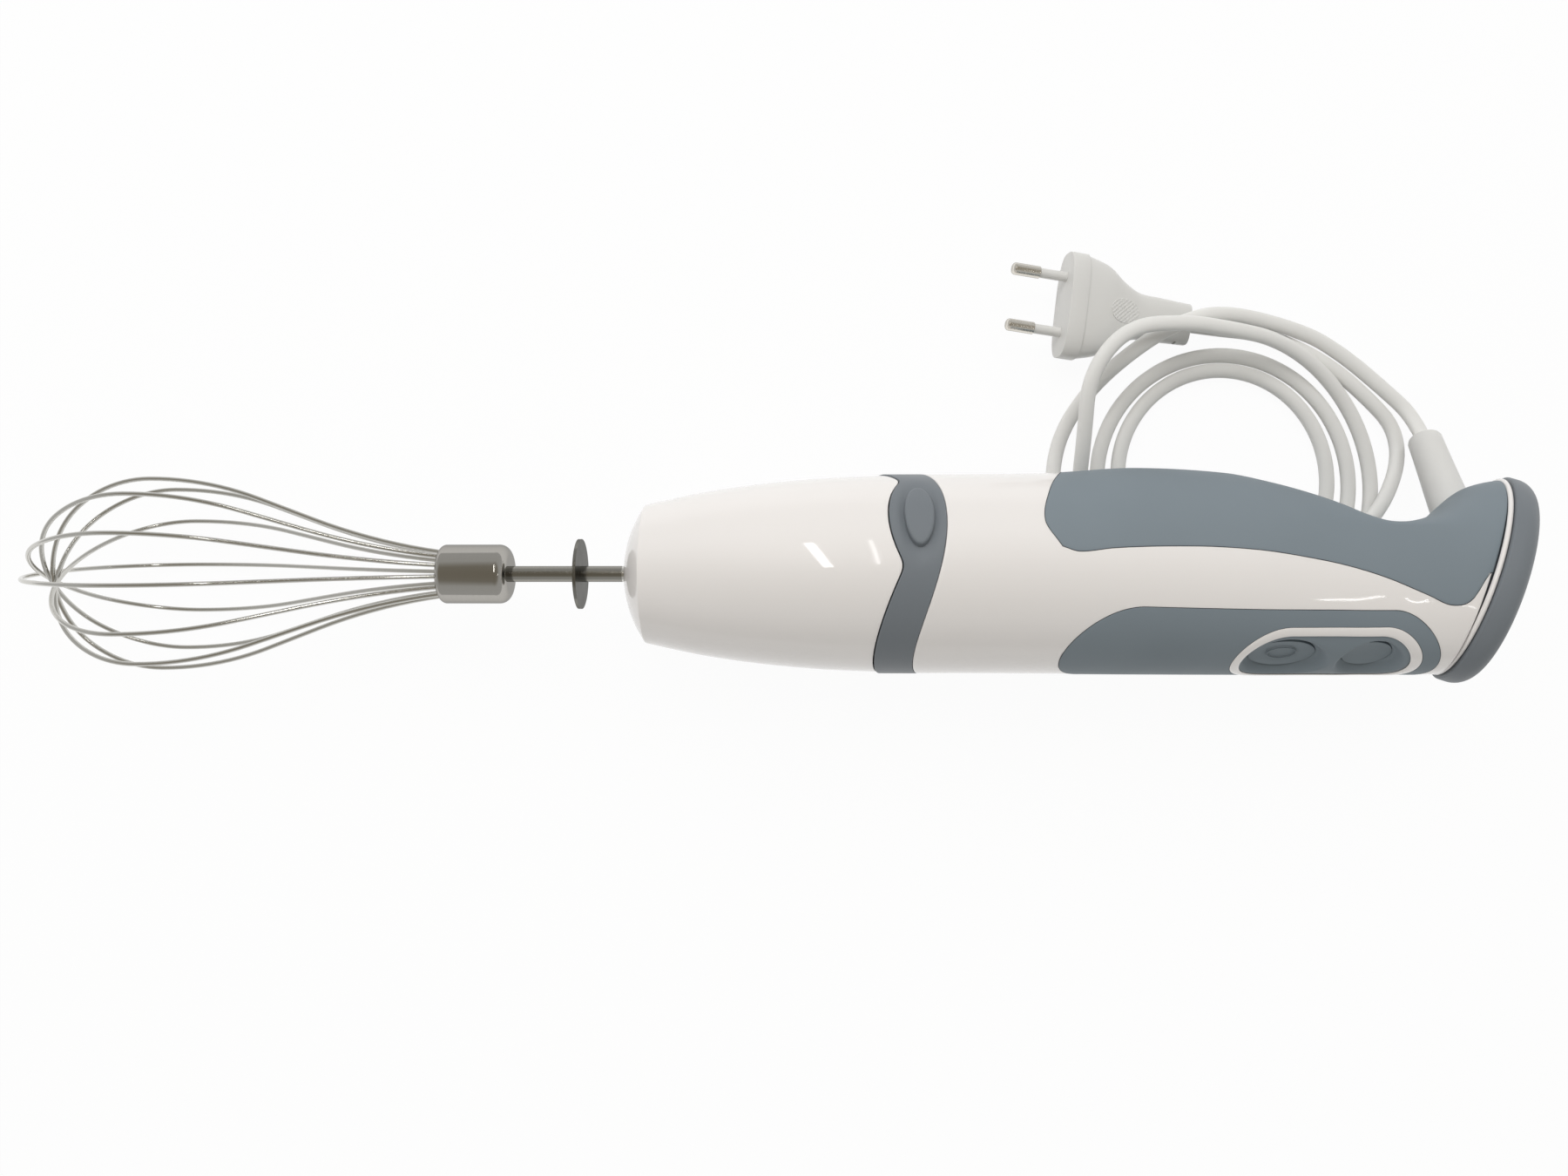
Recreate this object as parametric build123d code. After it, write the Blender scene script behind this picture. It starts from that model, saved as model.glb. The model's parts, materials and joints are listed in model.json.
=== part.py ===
"""Stick mixer with a whisk attachment, lying on a table on top of its own coiled mains lead.

Units are millimetres. Every rigid piece is drawn in the device frame: X runs along the drive axis from the
whisk (-X) to the end cap (+X), Y points to the back of the handle, where the lead leaves, and Z to the side
with the visible release button. The device is then rolled about X, tipped about Y so that the whisk touches
the table, and shifted so that the origin is under the middle of the device. The lead and its plug are drawn
on the table.
"""

import os
from math import acos, cos, degrees, pi, radians, sin, sqrt, tan

from build123d import *

# Pose on the table
ROLL = 34.0  # degrees the back has rolled below the horizontal
TIP = 1.3  # degrees the handle end is raised by the lead under it

# Clearances
SLIDE_GAP = 0.3  # between a button and its opening
SHAFT_GAP = 0.05  # radial, between a shaft and its bore
SEAM_GAP = 0.4  # the dark joint line between attachment and coupling ring
EPS = 0.02  # hairline between pieces of one body

# Handle
BODY_R = 31.0  # radius at the coupling ring
WALL = 2.6
SKIN = 1.3  # thickness of the soft grip and of the front panel
HANDLE_X0 = 34.0  # where the round end of the handle starts, inside the coupling ring
# Sections of the handle: X, front depth, back depth, half width
HANDLE = [
    (HANDLE_X0, BODY_R, BODY_R, BODY_R),
    (60.0, 31.0, 31.2, 30.8),
    (85.0, 31.3, 32.2, 30.3),
    (109.0, 31.7, 33.0, 29.5),
    (137.0, 32.2, 31.5, 28.0),
    (150.0, 32.4, 28.9, 27.0),
    (164.0, 32.6, 25.0, 26.0),
    (178.0, 32.8, 19.4, 25.0),
    (188.5, 33.0, 12.6, 24.5),
    (193.5, 33.0, 10.8, 24.3),
    (199.0, 33.0, 12.2, 24.4),
    (205.0, 33.0, 17.6, 25.0),
    (213.0, 33.0, 25.6, 26.5),
    (224.0, 33.0, 29.8, 28.0),
    (234.0, 33.0, 30.4, 28.6),
]
END_X = 211.2  # where the end plane crosses the axis
END_LEAN = 23.4  # degrees, back edge further from the whisk
BEAD_T = 1.8  # white bead between handle and end cap
CAP_T = 8.2
CAP_WALL = 1.7
CAP_ROUND = 5.4
CAP_HALF = (34.9, 28.9)  # half length and half width of the end cap in its own plane
BEAD_HALF = (34.2, 28.0)
CAP_SHIFT = -0.9  # centre of the cap from the axis, in its own plane
# Lower edge of the soft grip, X and Y, from its front corner to the end bead
GRIP_EDGE = [
    (80.6, -10.2), (85.5, -11.6), (95.6, -10.5), (110.6, -9.7), (125.8, -9.5), (140.8, -10.3), (155.8, -12.3),
    (165.7, -14.3), (175.5, -17.1), (185.3, -20.7), (191.8, -23.0), (197.7, -21.8),
]
GRIP_NOSE = (76.3, -2.0)
PANEL_X = (81.7, 192.7)
PANEL_HALF = 18.8
BEZEL_X = (131.6, 187.3)
BEZEL_HALF = 13.5
PAD_X = (134.4, 184.6)
PAD_HALF = 11.6
BEZEL_PROUD = 0.5
PAD_SUNK = 0.3
PAD_DEPTH = 7.0
SPEED_X = 148.0
SPEED_HALF = (9.6, 6.6)  # half length and half width of the button's face
TURBO_X = 173.0
TURBO_HALF = (7.0, 6.2)
RECESS_SLOPE = (0.63, 0.74)  # how far the recess opens along and across, for each millimetre of depth
FACE_Y = -28.6  # the foot of the recess
BUTTON_TRAVEL = 1.5
DISH_R = 26.0  # radius of the finger dish across a button
DISH_DEPTH = 0.7
STEM_R = 2.4

# Coupling ring and release buttons
RING_WALL = 3.0
RING_VALLEY_X = 31.2
RING_PEAK = (35.7, 15.4)
RING_FOOT = (27.3, 31.0)
RING_RIGHT_X = 47.9
RING_RIGHT_R = 57.0
RING_ROUND = 3.0
RELEASE_X = 40.0
RELEASE_HALF = (4.4, 10.2)
RELEASE_PROUD = 1.0
HOOK_L = 3.2
HOOK_T = 1.8
HOOK_W = 8.0

# Attachment
NOSE_X = -50.0
NOSE_EDGE = (-43.0, 21.8)
GEARBOX_PROFILE = [(-26.0, 25.4), (-12.3, 27.5), (1.4, 29.0), (15.0, 30.0), (40.0, 30.9)]
GEARBOX_WALL = 2.4
BUSH_R = 8.6
COVER_X = 17.0
COVER_T = 3.0
SPIGOT_R = 26.0
SPIGOT_WALL = 2.0
SPIGOT_X1 = 35.0

# Planetary stage
MODULE = 0.7
SUN_T = 12
PLANET_T = 24
RING_T = SUN_T + 2 * PLANET_T
PLANETS = 3
GEAR_X = (1.0, 8.0)
ADDENDUM = 0.8  # in modules
DEDENDUM = 1.15
TOOTH_SHARE = 0.42  # tooth thickness in circular pitches
RING_GEAR_R = 24.0
CARRIER_R = 17.4
CARRIER_T = 4.0
PIN_R = 1.6
HUB_R = 6.0
CUP_R = 9.6
HEX_FLAT = 11.0  # across flats of the drive coupling

# Whisk
SHAFT_R = 2.5
STUD = (1.2, 9.0)  # radius and length of the stud that joins the shaft and its drive end
SOCKET_DEPTH = 30.0
DISC_X = -64.0
DISC_R = 11.0
DISC_T = 1.0
FERRULE_X = (-108.0, -86.0)
FERRULE_R = 9.3
FERRULE_ROUND = (2.0, 3.4)
WIRE_R = 0.7
WIRE_LOOPS = 6
WIRE_CIRCLE = 7.0
WIRE_TURN = -7.0  # degrees of the first loop from the vertical
WIRE_FLARE = (8.0, 21.0)  # degrees, at the ferrule and on the straight run
WIRE_RUN_X = (-148.0, -165.0)
BELLY_X = -199.0
TIP_X = -238.0
TIP_STEP = 1.65  # each loop ends this much short of the one outside it
WIRE_DEPTH = 14.0  # how far each wire end runs inside the ferrule

# Motor
MOTOR_SHAFT_R = 2.5
PLATE_X = (50.0, 53.0)
FAN_X = (58.0, 66.0)
FAN_R = 21.0
FAN_BLADES = 9
BRIDGE_X = (69.0, 73.0)
STATOR_X = (77.0, 107.0)
STATOR_R = 23.0
STATOR_IN = 19.0
ARMATURE_R = 13.8
AIR_GAP = 0.7
SLOTS = 12
COMMUTATOR_X = (111.0, 121.0)
COMMUTATOR_R = 7.0
REAR_X = (124.0, 128.0)
BEARING_R = 6.5

# Board and switches, under the buttons
BOARD_X = (136.0, 190.0)
BOARD_Y = -13.0
BOARD_T = 1.6
BOARD_HALF = 11.0
SWITCH = (12.0, 6.0)  # length and width of a micro switch

# Lead
LEAD_D = 4.4
SLEEVE_X = 214.0
SLEEVE_R = (5.9, 5.2)  # at the handle and at the free end
SLEEVE_END = 49.5  # from the axis
COIL_CENTRE = (148.0, 30.0)
COIL_R0 = 59.0
COIL_PITCH = 8.2
COIL_TURNS = 3.5
COIL_START = 90.0
COIL_STEP = 30.0  # degrees of turn in one biarc
# Bumps of the coil's radius: angle of turn, half width in degrees, size
COIL_BULGES = [(125.0, 45.0, -3.2), (492.0, 40.0, 13.0)]
# Humps over the plug: angle of turn, half widths before and after it, height
COIL_HUMPS = [(119.0, 60.0, 46.0, 13.9), (490.0, 112.0, 79.0, 20.6)]
COIL_CROWD = 3.0  # how far each later turn crowds outward at the top

# Plug
PLUG_TAIL = (137.0, 85.0, 3.9)  # where the lead enters the plug, on the table
PLUG_HEADING = 173.5
PLUG_PITCH = 10.0
PLUG_TAIL_L = 19.0  # flat tail, before the shoulders
PLUG_BODY_L = 26.0
PLUG_TAIL_HALF = (6.9, 3.1)
PLUG_HALF = (17.6, 6.85)
PLUG_FRONT_L = 6.0  # slab that holds the pins
PLUG_STEP = 0.4  # by which the slab stands out
PLUG_PIN_R = 2.0
PLUG_PIN_L = 19.0
PLUG_PIN_SPREAD = 18.6
PLUG_SLEEVE_L = 9.5
PLUG_SLEEVE_R = 1.6
PLUG_PIN_ROOT = 12.0

PIECES = {}  # node -> solid or group of solids in the device frame
TABLE_PIECES = {}  # node -> solid on the table, before the last shift


def across(x):
    """The plane across the drive axis at x: its own x is the device's Y and its own y the device's Z."""
    return Plane((x, 0, 0), x_dir=(0, 1, 0), z_dir=(1, 0, 0))


def rod(radius, x0, x1, y=0.0, z=0.0):
    plane = Plane((x0, y, z), x_dir=(0, 1, 0), z_dir=(1, 0, 0))
    return extrude(plane * Circle(radius), amount=x1 - x0)


def tube(outer, inner, x0, x1):
    return extrude(across(x0) * (Circle(outer) - Circle(inner)), amount=x1 - x0)


def box(x, y, z):
    """A box between two corners on each axis."""
    centre = [(a + b) / 2 for a, b in (x, y, z)]
    return Pos(*centre) * Box(x[1] - x[0], y[1] - y[0], z[1] - z[0])


def turned(*edges):
    return revolve(make_face(list(edges)), Axis.X)


def side_prism(face):
    """A face drawn in the device's X and Y, through the whole device."""
    return extrude(face, amount=80, both=True)


def front_prism(face):
    """A face drawn in X and Z, from the axis out through the front."""
    return extrude(Plane.XZ * face, amount=60)


def biarc(p0, t0, p1, t1):
    """Two tangent arcs from p0 along t0 to p1 along t1, in the plane or in space."""
    p0, p1 = Vector(*p0), Vector(*p1)
    t0, t1 = Vector(*t0).normalized(), Vector(*t1).normalized()
    gap = p1 - p0
    both = t0 + t1
    a = 2 * (1 - t0.dot(t1))
    b = 2 * gap.dot(both)
    c = gap.dot(gap)
    reach = c / b if abs(a) < 1e-9 else (-b + sqrt(b * b + 4 * a * c)) / (2 * a)
    joint = (p0 + t0 * reach + p1 - t1 * reach) * 0.5
    first = TangentArc(p0, joint, tangent=t0)
    second = TangentArc(joint, p1, tangent=(p1 - t1 * reach) - (p0 + t0 * reach))
    return [first, second]


def swept_tube(edges, diameter):
    path = Wire(edges)
    start = Plane(path @ 0, z_dir=path % 0)
    return sweep(start * Circle(diameter / 2), path=path)


# Handle shell
def handle(inset):
    """The solid inside the handle's outer surface, moved inward by inset."""
    faces = []
    for x, front, back, half in HANDLE:
        outline = [
            EllipticalCenterArc((0, 0), back - inset, half - inset, -90, arc_size=180),
            EllipticalCenterArc((0, 0), front - inset, half - inset, 90, arc_size=180),
        ]
        faces.append(across(x) * make_face(outline))
    return loft(faces)


def ring_left(shift):
    """The wavy left edge of the coupling ring, from back to front, and its end points."""
    slope = (RING_PEAK[0] - RING_FOOT[0]) / (RING_FOOT[1] - RING_PEAK[1])
    out = RING_FOOT[1] + 10
    far = RING_FOOT[0] - slope * 10
    peak_back = (RING_PEAK[0] + shift, RING_PEAK[1])
    peak_front = (RING_PEAK[0] + shift, -RING_PEAK[1])
    edges = [
        Line((far + shift, out), peak_back),
        ThreePointArc(peak_back, (RING_VALLEY_X + shift, 0), peak_front),
        Line(peak_front, (far + shift, -out)),
    ]
    return edges, (far + shift, out), (far + shift, -out)


def ring_right():
    out = RING_FOOT[1] + 10
    x = RING_RIGHT_X - RING_RIGHT_R + sqrt(RING_RIGHT_R**2 - out**2)
    return ThreePointArc((x, -out), (RING_RIGHT_X, 0), (x, out)), x, out


def rounded_peaks(face):
    peaks = [v for v in face.vertices() if abs(abs(v.Y) - RING_PEAK[1]) < 0.01]
    return fillet(peaks, RING_ROUND)


left, top, bottom = ring_left(0)
right, right_x, right_out = ring_right()
ring_face = make_face(left + [Line(bottom, (right_x, -right_out)), right, Line((right_x, right_out), top)])
ring_face = rounded_peaks(ring_face)
left, top, bottom = ring_left(-SEAM_GAP)
far_left = NOSE_X - 20
shell_face = make_face(
    left
    + [
        Line(bottom, (far_left, -right_out)),
        Line((far_left, -right_out), (far_left, top[1])),
        Line((far_left, top[1]), top),
    ]
)
shell_face = rounded_peaks(shell_face)
behind_ring = make_face(
    [
        right,
        Line((right_x, right_out), (300, right_out)),
        Line((300, right_out), (300, -right_out)),
        Line((300, -right_out), (right_x, -right_out)),
    ]
)

lean = radians(END_LEAN)
END_NORMAL = Vector(cos(lean), -sin(lean), 0)
END_PLANE = Plane((END_X, 0, 0), x_dir=(sin(lean), cos(lean), 0), z_dir=END_NORMAL)
past_end = extrude(END_PLANE.offset(-BEAD_T / 2) * Rectangle(200, 200), amount=100)

outer = handle(0)
skin_core = handle(SKIN)
inner = handle(WALL)
shell = (outer - inner) & side_prism(behind_ring)
shell = shell - past_end

# Soft grip over the back and both sides
grip_side = END_PLANE.offset(-BEAD_T / 2 - 0.8)
grip_end = Vector(*(grip_side * Pos(-15.0, 0, 0)).position)
grip_top = Vector(*(grip_side * Pos(45.0, 0, 0)).position)
grip_start = Spline((GRIP_NOSE[0] + 14, 45), (GRIP_NOSE[0] + 10, 26), GRIP_NOSE, GRIP_EDGE[0])
grip_low = Spline(*GRIP_EDGE, (grip_end.X, grip_end.Y), tangents=[grip_start % 1, (0.6, 1)])
grip_face = make_face(
    [
        grip_start,
        grip_low,
        Line((grip_end.X, grip_end.Y), (grip_top.X, grip_top.Y)),
        Line((grip_top.X, grip_top.Y), (GRIP_NOSE[0] + 14, 45)),
    ]
)


# Front panel, bezel, pad and buttons
def pointed_oval(x0, x1, half, point, lead_in):
    """A long oval with a pointed left end and a round right end, in X and Z."""
    full = x0 + lead_in
    upper = biarc((x0, 0), (cos(point), sin(point)), (full, half), (1, 0))
    lower = biarc((full, -half), (-1, 0), (x0, 0), (-cos(point), sin(point)))
    straight = x1 - half
    return make_face(
        upper
        + [
            Line((full, half), (straight, half)),
            ThreePointArc((straight, half), (x1, 0), (straight, -half)),
            Line((straight, -half), (full, -half)),
        ]
        + lower
    )


panel_face = pointed_oval(*PANEL_X, PANEL_HALF, radians(78), 22.0)
bezel_face = pointed_oval(*BEZEL_X, BEZEL_HALF, radians(76), 14.5)
pad_face = pointed_oval(*PAD_X, PAD_HALF, radians(76), 13.0)
BUTTONS = {"speed_button": (SPEED_X, SPEED_HALF), "turbo_button": (TURBO_X, TURBO_HALF)}

skin = outer - skin_core
grip = (skin & side_prism(grip_face)) & side_prism(behind_ring)
panel = skin & front_prism(panel_face)
housing = shell - grip - panel - front_prism(bezel_face)
panel = panel - front_prism(bezel_face)
bezel = (handle(-BEZEL_PROUD) & front_prism(bezel_face)) - inner - front_prism(pad_face)
pad = (handle(PAD_SUNK) - handle(PAD_DEPTH)) & front_prism(pad_face)
FLANGE_Y = (-23.0, -22.0)  # the button's retaining flange, just inside the pad
RECESS_TOP = 7.4  # height of the recess tool above the foot


def facing(y):
    """The plane at y that looks to the front, with its own x along X and its own y along Z."""
    return Plane((0, y, 0), x_dir=(1, 0, 0), z_dir=(0, -1, 0))


for name, (x, half) in BUTTONS.items():
    foot = (half[0] + SLIDE_GAP, half[1] + SLIDE_GAP)
    mouth = [f + slope * RECESS_TOP for f, slope in zip(foot, RECESS_SLOPE)]
    recess = loft(
        [
            facing(FACE_Y) * (Pos(x, 0) * Ellipse(*foot)),
            facing(FACE_Y - RECESS_TOP) * (Pos(x, 0) * Ellipse(*mouth)),
        ]
    )
    shaft_hole = extrude(facing(FACE_Y + 12) * (Pos(x, 0) * Ellipse(*foot)), amount=12.1)
    pad = pad - recess - shaft_hole
    body = extrude(facing(FLANGE_Y[1]) * (Pos(x, 0) * Ellipse(*half)), amount=FLANGE_Y[1] - FACE_Y)
    dish = Pos(x, FACE_Y - DISH_R + DISH_DEPTH, 0) * scale(Sphere(DISH_R), by=(half[0] / half[1], 1, 1))
    flange = extrude(
        facing(FLANGE_Y[1]) * (Pos(x, 0) * Ellipse(half[0] + 0.9, half[1] + 0.9)),
        amount=FLANGE_Y[1] - FLANGE_Y[0],
    )
    stem_end = BOARD_Y - BOARD_T - 5.0 - BUTTON_TRAVEL
    stem = extrude(facing(stem_end) * (Pos(x, 0) * Circle(STEM_R)), amount=stem_end - FLANGE_Y[1] + 0.2)
    PIECES[name] = (body - dish) + flange + stem

# Sleeve seat in the back wall
sleeve_axis = Plane((SLEEVE_X, 0, 0), x_dir=(1, 0, 0), z_dir=(0, 1, 0))
sleeve_start = 15.0
sleeve_hole = extrude(sleeve_axis.offset(sleeve_start - 4) * Circle(SLEEVE_R[0] + EPS), amount=40)
sleeve_body = loft(
    [
        sleeve_axis.offset(sleeve_start) * Circle(SLEEVE_R[0]),
        sleeve_axis.offset(SLEEVE_END) * Circle(SLEEVE_R[1]),
    ]
)
sleeve_body = fillet(sleeve_body.edges().group_by(Axis.Y)[-1], 1.2)
sleeve_flange = extrude(sleeve_axis.offset(sleeve_start - 3) * Circle(SLEEVE_R[0] + 1.2), amount=3)
housing = housing - sleeve_hole
grip = grip - sleeve_hole
PIECES["motor_housing"] = housing
PIECES["handle_grip"] = grip
PIECES["front_panel"] = panel
PIECES["button_bezel"] = bezel
PIECES["button_pad"] = pad
PIECES["cord_sleeve"] = sleeve_body + sleeve_flange
clamp_y = (sleeve_start - 9, sleeve_start - 3)
clamp_half = 6.4
PIECES["cord_clamp"] = box((SLEEVE_X - clamp_half, SLEEVE_X + clamp_half), clamp_y, (-6, 6))
PIECES["clamp_screws"] = Compound(
    [
        extrude(Plane.XZ.offset(-clamp_y[0]) * (Pos(SLEEVE_X + s * 4.1, 0) * Circle(2.2)), amount=2.0).solid()
        for s in (-1, 1)
    ]
)

# End bead and cap
bead = extrude(END_PLANE.offset(-BEAD_T / 2) * Pos(CAP_SHIFT, 0) * Ellipse(*BEAD_HALF), amount=BEAD_T)
bead_opening = Ellipse(BEAD_HALF[0] - 4.5, BEAD_HALF[1] - 5.5)
bead_hole = extrude(END_PLANE.offset(-BEAD_T) * Pos(CAP_SHIFT, 0) * bead_opening, amount=3 * BEAD_T)
PIECES["cap_bead"] = fillet((bead - bead_hole).edges().group_by(SortBy.LENGTH)[-1], 0.6)
cap = extrude(END_PLANE.offset(BEAD_T / 2) * Pos(CAP_SHIFT, 0) * Ellipse(*CAP_HALF), amount=CAP_T)
cap_edges = cap.edges().sort_by(Axis(END_PLANE.origin, END_NORMAL))
cap = fillet(cap_edges[-1], CAP_ROUND)
cap = fillet(cap.edges().sort_by(Axis(END_PLANE.origin, END_NORMAL))[0], 0.8)
spigot_half = (BEAD_HALF[0] - 5, BEAD_HALF[1] - 6)
spigot_from = -BEAD_T / 2 - 4
spigot_face = END_PLANE.offset(spigot_from) * Pos(CAP_SHIFT, 0) * Ellipse(*spigot_half)
cap_spigot = extrude(spigot_face, amount=4 + BEAD_T)
sleeve_room = extrude(sleeve_axis * Circle(SLEEVE_R[0] + 0.5), amount=60)
cap_spigot = (cap_spigot & handle(WALL + SLIDE_GAP)) - sleeve_room
hollow_half = (spigot_half[0] - 2.5, spigot_half[1] - 2.5)
hollow_depth = 20 + BEAD_T / 2 + CAP_T - CAP_WALL
cap_hollow = extrude(END_PLANE.offset(-20) * Pos(CAP_SHIFT, 0) * Ellipse(*hollow_half), amount=hollow_depth)
PIECES["end_cap"] = (cap + cap_spigot) - cap_hollow

# Coupling ring with its two release buttons
ring = tube(BODY_R, BODY_R - RING_WALL, 10, 60) & side_prism(ring_face)
release_hole = Pos(RELEASE_X, 0) * Ellipse(RELEASE_HALF[0] + SLIDE_GAP, RELEASE_HALF[1] + SLIDE_GAP)
ring = ring - extrude(release_hole, amount=60, both=True)
PIECES["coupling_ring"] = ring
plate = rod(60, *PLATE_X) & handle(WALL + EPS)
PIECES["coupling_plate"] = plate - rod(15.0, PLATE_X[0] - 1, PLATE_X[1] + 1)
for name, side in (("release_button_left", 1), ("release_button_right", -1)):
    oval = extrude(Pos(RELEASE_X, 0) * Ellipse(*RELEASE_HALF), amount=side * 60)
    body = oval & tube(BODY_R + RELEASE_PROUD, 24.0, 10, 60)
    long_edges = body.edges().filter_by(lambda e: e.bounding_box().size.Y > 8).sort_by(Axis.Z)
    body = fillet(long_edges[-side if side > 0 else 0], 0.9)
    foot_z = sorted((side * 20.6, side * (24.0 + 0.6)))
    foot = box((RELEASE_X - 3, RELEASE_X + 3), (-HOOK_W / 2, HOOK_W / 2), foot_z)
    hook_z = sorted((side * 20.6, side * (20.6 + HOOK_T)))
    hook = box((RELEASE_X - 3 - HOOK_L, RELEASE_X), (-HOOK_W / 2, HOOK_W / 2), hook_z)
    PIECES[name] = body + foot + hook


# Attachment housing
def gearbox_outline(inset):
    """Edges of the attachment's outer surface in X and radius, from the nose to the open end."""
    edge = (NOSE_EDGE[0] + inset, NOSE_EDGE[1] - inset)
    profile = [(x, r - inset) for x, r in GEARBOX_PROFILE]
    nose = (NOSE_X + inset, 0.0)
    dome = ThreePointArc(nose, (NOSE_X + inset + 2.1, NOSE_EDGE[1] * 0.52), edge)
    wall = Spline(edge, *profile)
    end = profile[-1]
    return turned(dome, wall, Line(end, (end[0], 0)), Line((end[0], 0), nose))


case = gearbox_outline(0)
case_inner = gearbox_outline(GEARBOX_WALL)
boss = rod(BUSH_R + 2.4, NOSE_X, NOSE_X + 22) & case
nose_bore = rod(BUSH_R, NOSE_X + 3.5, NOSE_X + 23) + rod(SHAFT_R + 0.5, NOSE_X - 5, NOSE_X + 10)
gearbox = ((case - case_inner) + boss) & side_prism(shell_face)
gearbox = gearbox - nose_bore
inner_at_cover = 28.0
gearbox = gearbox - rod(inner_at_cover + EPS, COVER_X, 60)
seat_x = (GEAR_X[0] - 0.5, GEAR_X[1] + 0.5)
gear_seat = (rod(40, *seat_x) & case_inner) - rod(RING_GEAR_R + EPS, *seat_x)
PIECES["gearbox_housing"] = gearbox + gear_seat
PIECES["output_bush"] = tube(BUSH_R - EPS, HUB_R + SHAFT_GAP, NOSE_X + 3.5, NOSE_X + 21)
cover = tube(inner_at_cover, 8.0, COVER_X, COVER_X + COVER_T)
spigot = tube(SPIGOT_R, SPIGOT_R - SPIGOT_WALL, COVER_X, SPIGOT_X1)
PIECES["gearbox_cover"] = cover + spigot
PIECES["input_bearing"] = tube(8.0 - EPS, 4.0 + SHAFT_GAP, COVER_X - 1, COVER_X + COVER_T)


# Planetary stage
def involute(angle):
    return tan(angle) - angle


def gear_points(teeth, inside=False):
    """Corners of a gear's outline, with one tooth centred on its own x axis."""
    pitch_r = MODULE * teeth / 2
    base = pitch_r * cos(radians(20))
    share = (1 - TOOTH_SHARE) if inside else TOOTH_SHARE
    half = pi * share / teeth
    tip = pitch_r + (DEDENDUM if inside else ADDENDUM) * MODULE
    root = pitch_r - (ADDENDUM if inside else DEDENDUM) * MODULE
    radii = [max(base, root) + (tip - max(base, root)) * k / 3 for k in range(4)]
    if root < base:
        radii = [root] + radii
    flank = []
    for r in radii:
        roll = acos(min(1.0, base / max(r, base)))
        flank.append((r, half + involute(radians(20)) - involute(roll)))
    turn = pi / teeth if inside else 0.0
    points = []
    for k in range(teeth):
        centre = turn + 2 * pi * k / teeth
        points += [(r * cos(centre - a), r * sin(centre - a)) for r, a in flank]
        points += [(r * cos(centre + a), r * sin(centre + a)) for r, a in reversed(flank)]
    return points


def gear(teeth, x0, x1, turn=0.0, y=0.0, z=0.0):
    outline = make_face(Polyline(*gear_points(teeth), close=True))
    plane = Plane((x0, y, z), x_dir=(0, 1, 0), z_dir=(1, 0, 0))
    return extrude(plane * (Rot(0, 0, turn) * outline), amount=x1 - x0)


CENTRES_R = MODULE * (SUN_T + PLANET_T) / 2
ring_hole = make_face(Polyline(*gear_points(RING_T, inside=True), close=True))
toothed_face = across(GEAR_X[0] - 0.5) * (Circle(RING_GEAR_R) - ring_hole)
PIECES["ring_gear"] = extrude(toothed_face, amount=GEAR_X[1] - GEAR_X[0] + 1)
cup_hex = RegularPolygon((HEX_FLAT + 2 * SLIDE_GAP) / 2, 6, major_radius=False)
sun_shaft = rod(4.0, GEAR_X[1] + 0.5, COVER_X + COVER_T + 0.6)
sun = gear(SUN_T, GEAR_X[0] - 0.5, GEAR_X[1] + 0.6) + sun_shaft
cup_x = COVER_X + COVER_T + 0.6
cup = extrude(across(cup_x) * Circle(CUP_R), amount=15) - extrude(across(cup_x + 2) * cup_hex, amount=20)
PIECES["input_shaft"] = sun + cup
carrier_x1 = GEAR_X[0] - 1.0
carrier = rod(CARRIER_R, carrier_x1 - CARRIER_T, carrier_x1) + rod(HUB_R, NOSE_X + 4.0, carrier_x1)
socket_x = NOSE_X + SOCKET_DEPTH
carrier = carrier - rod(SHAFT_R + SHAFT_GAP, NOSE_X + 2, socket_x + 0.5)
pins = []
for k in range(PLANETS):
    around = radians(360 / PLANETS * k)
    y, z = CENTRES_R * cos(around), CENTRES_R * sin(around)
    turn = degrees(around) + 180 / PLANET_T
    planet = gear(PLANET_T, *GEAR_X, turn=turn, y=y, z=z)
    planet -= rod(PIN_R + SHAFT_GAP, GEAR_X[0] - 1, GEAR_X[1] + 1, y, z)
    PIECES[f"planet_gear_{k + 1}"] = planet
    carrier = carrier - rod(PIN_R, carrier_x1 - CARRIER_T - 1, carrier_x1 + 1, y, z)
    pins.append(rod(PIN_R, carrier_x1 - CARRIER_T, GEAR_X[1] + 0.4, y, z).solid())
PIECES["planet_carrier"] = carrier
PIECES["planet_pins"] = Compound(pins)

# Whisk
shaft_x1 = socket_x
split_x = NOSE_X - 0.7
shaft = rod(SHAFT_R, FERRULE_X[0] + 4, split_x)
PIECES["whisk_shaft"] = shaft - rod(STUD[0], split_x - STUD[1], split_x + 1)
drive_end = rod(SHAFT_R, split_x, shaft_x1)
PIECES["whisk_drive_end"] = drive_end + rod(STUD[0] - EPS, split_x - STUD[1], split_x)
PIECES["splash_disc"] = tube(DISC_R, SHAFT_R, DISC_X - DISC_T / 2, DISC_X + DISC_T / 2)
ferrule = rod(FERRULE_R, *FERRULE_X)
ferrule = fillet(ferrule.edges().sort_by(Axis.X)[0], FERRULE_ROUND[0])
ferrule = fillet(ferrule.edges().filter_by(GeomType.CIRCLE).sort_by(Axis.X)[-1], FERRULE_ROUND[1])
ferrule = ferrule - rod(SHAFT_R, FERRULE_X[0] + 4, FERRULE_X[1] + 5)


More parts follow.
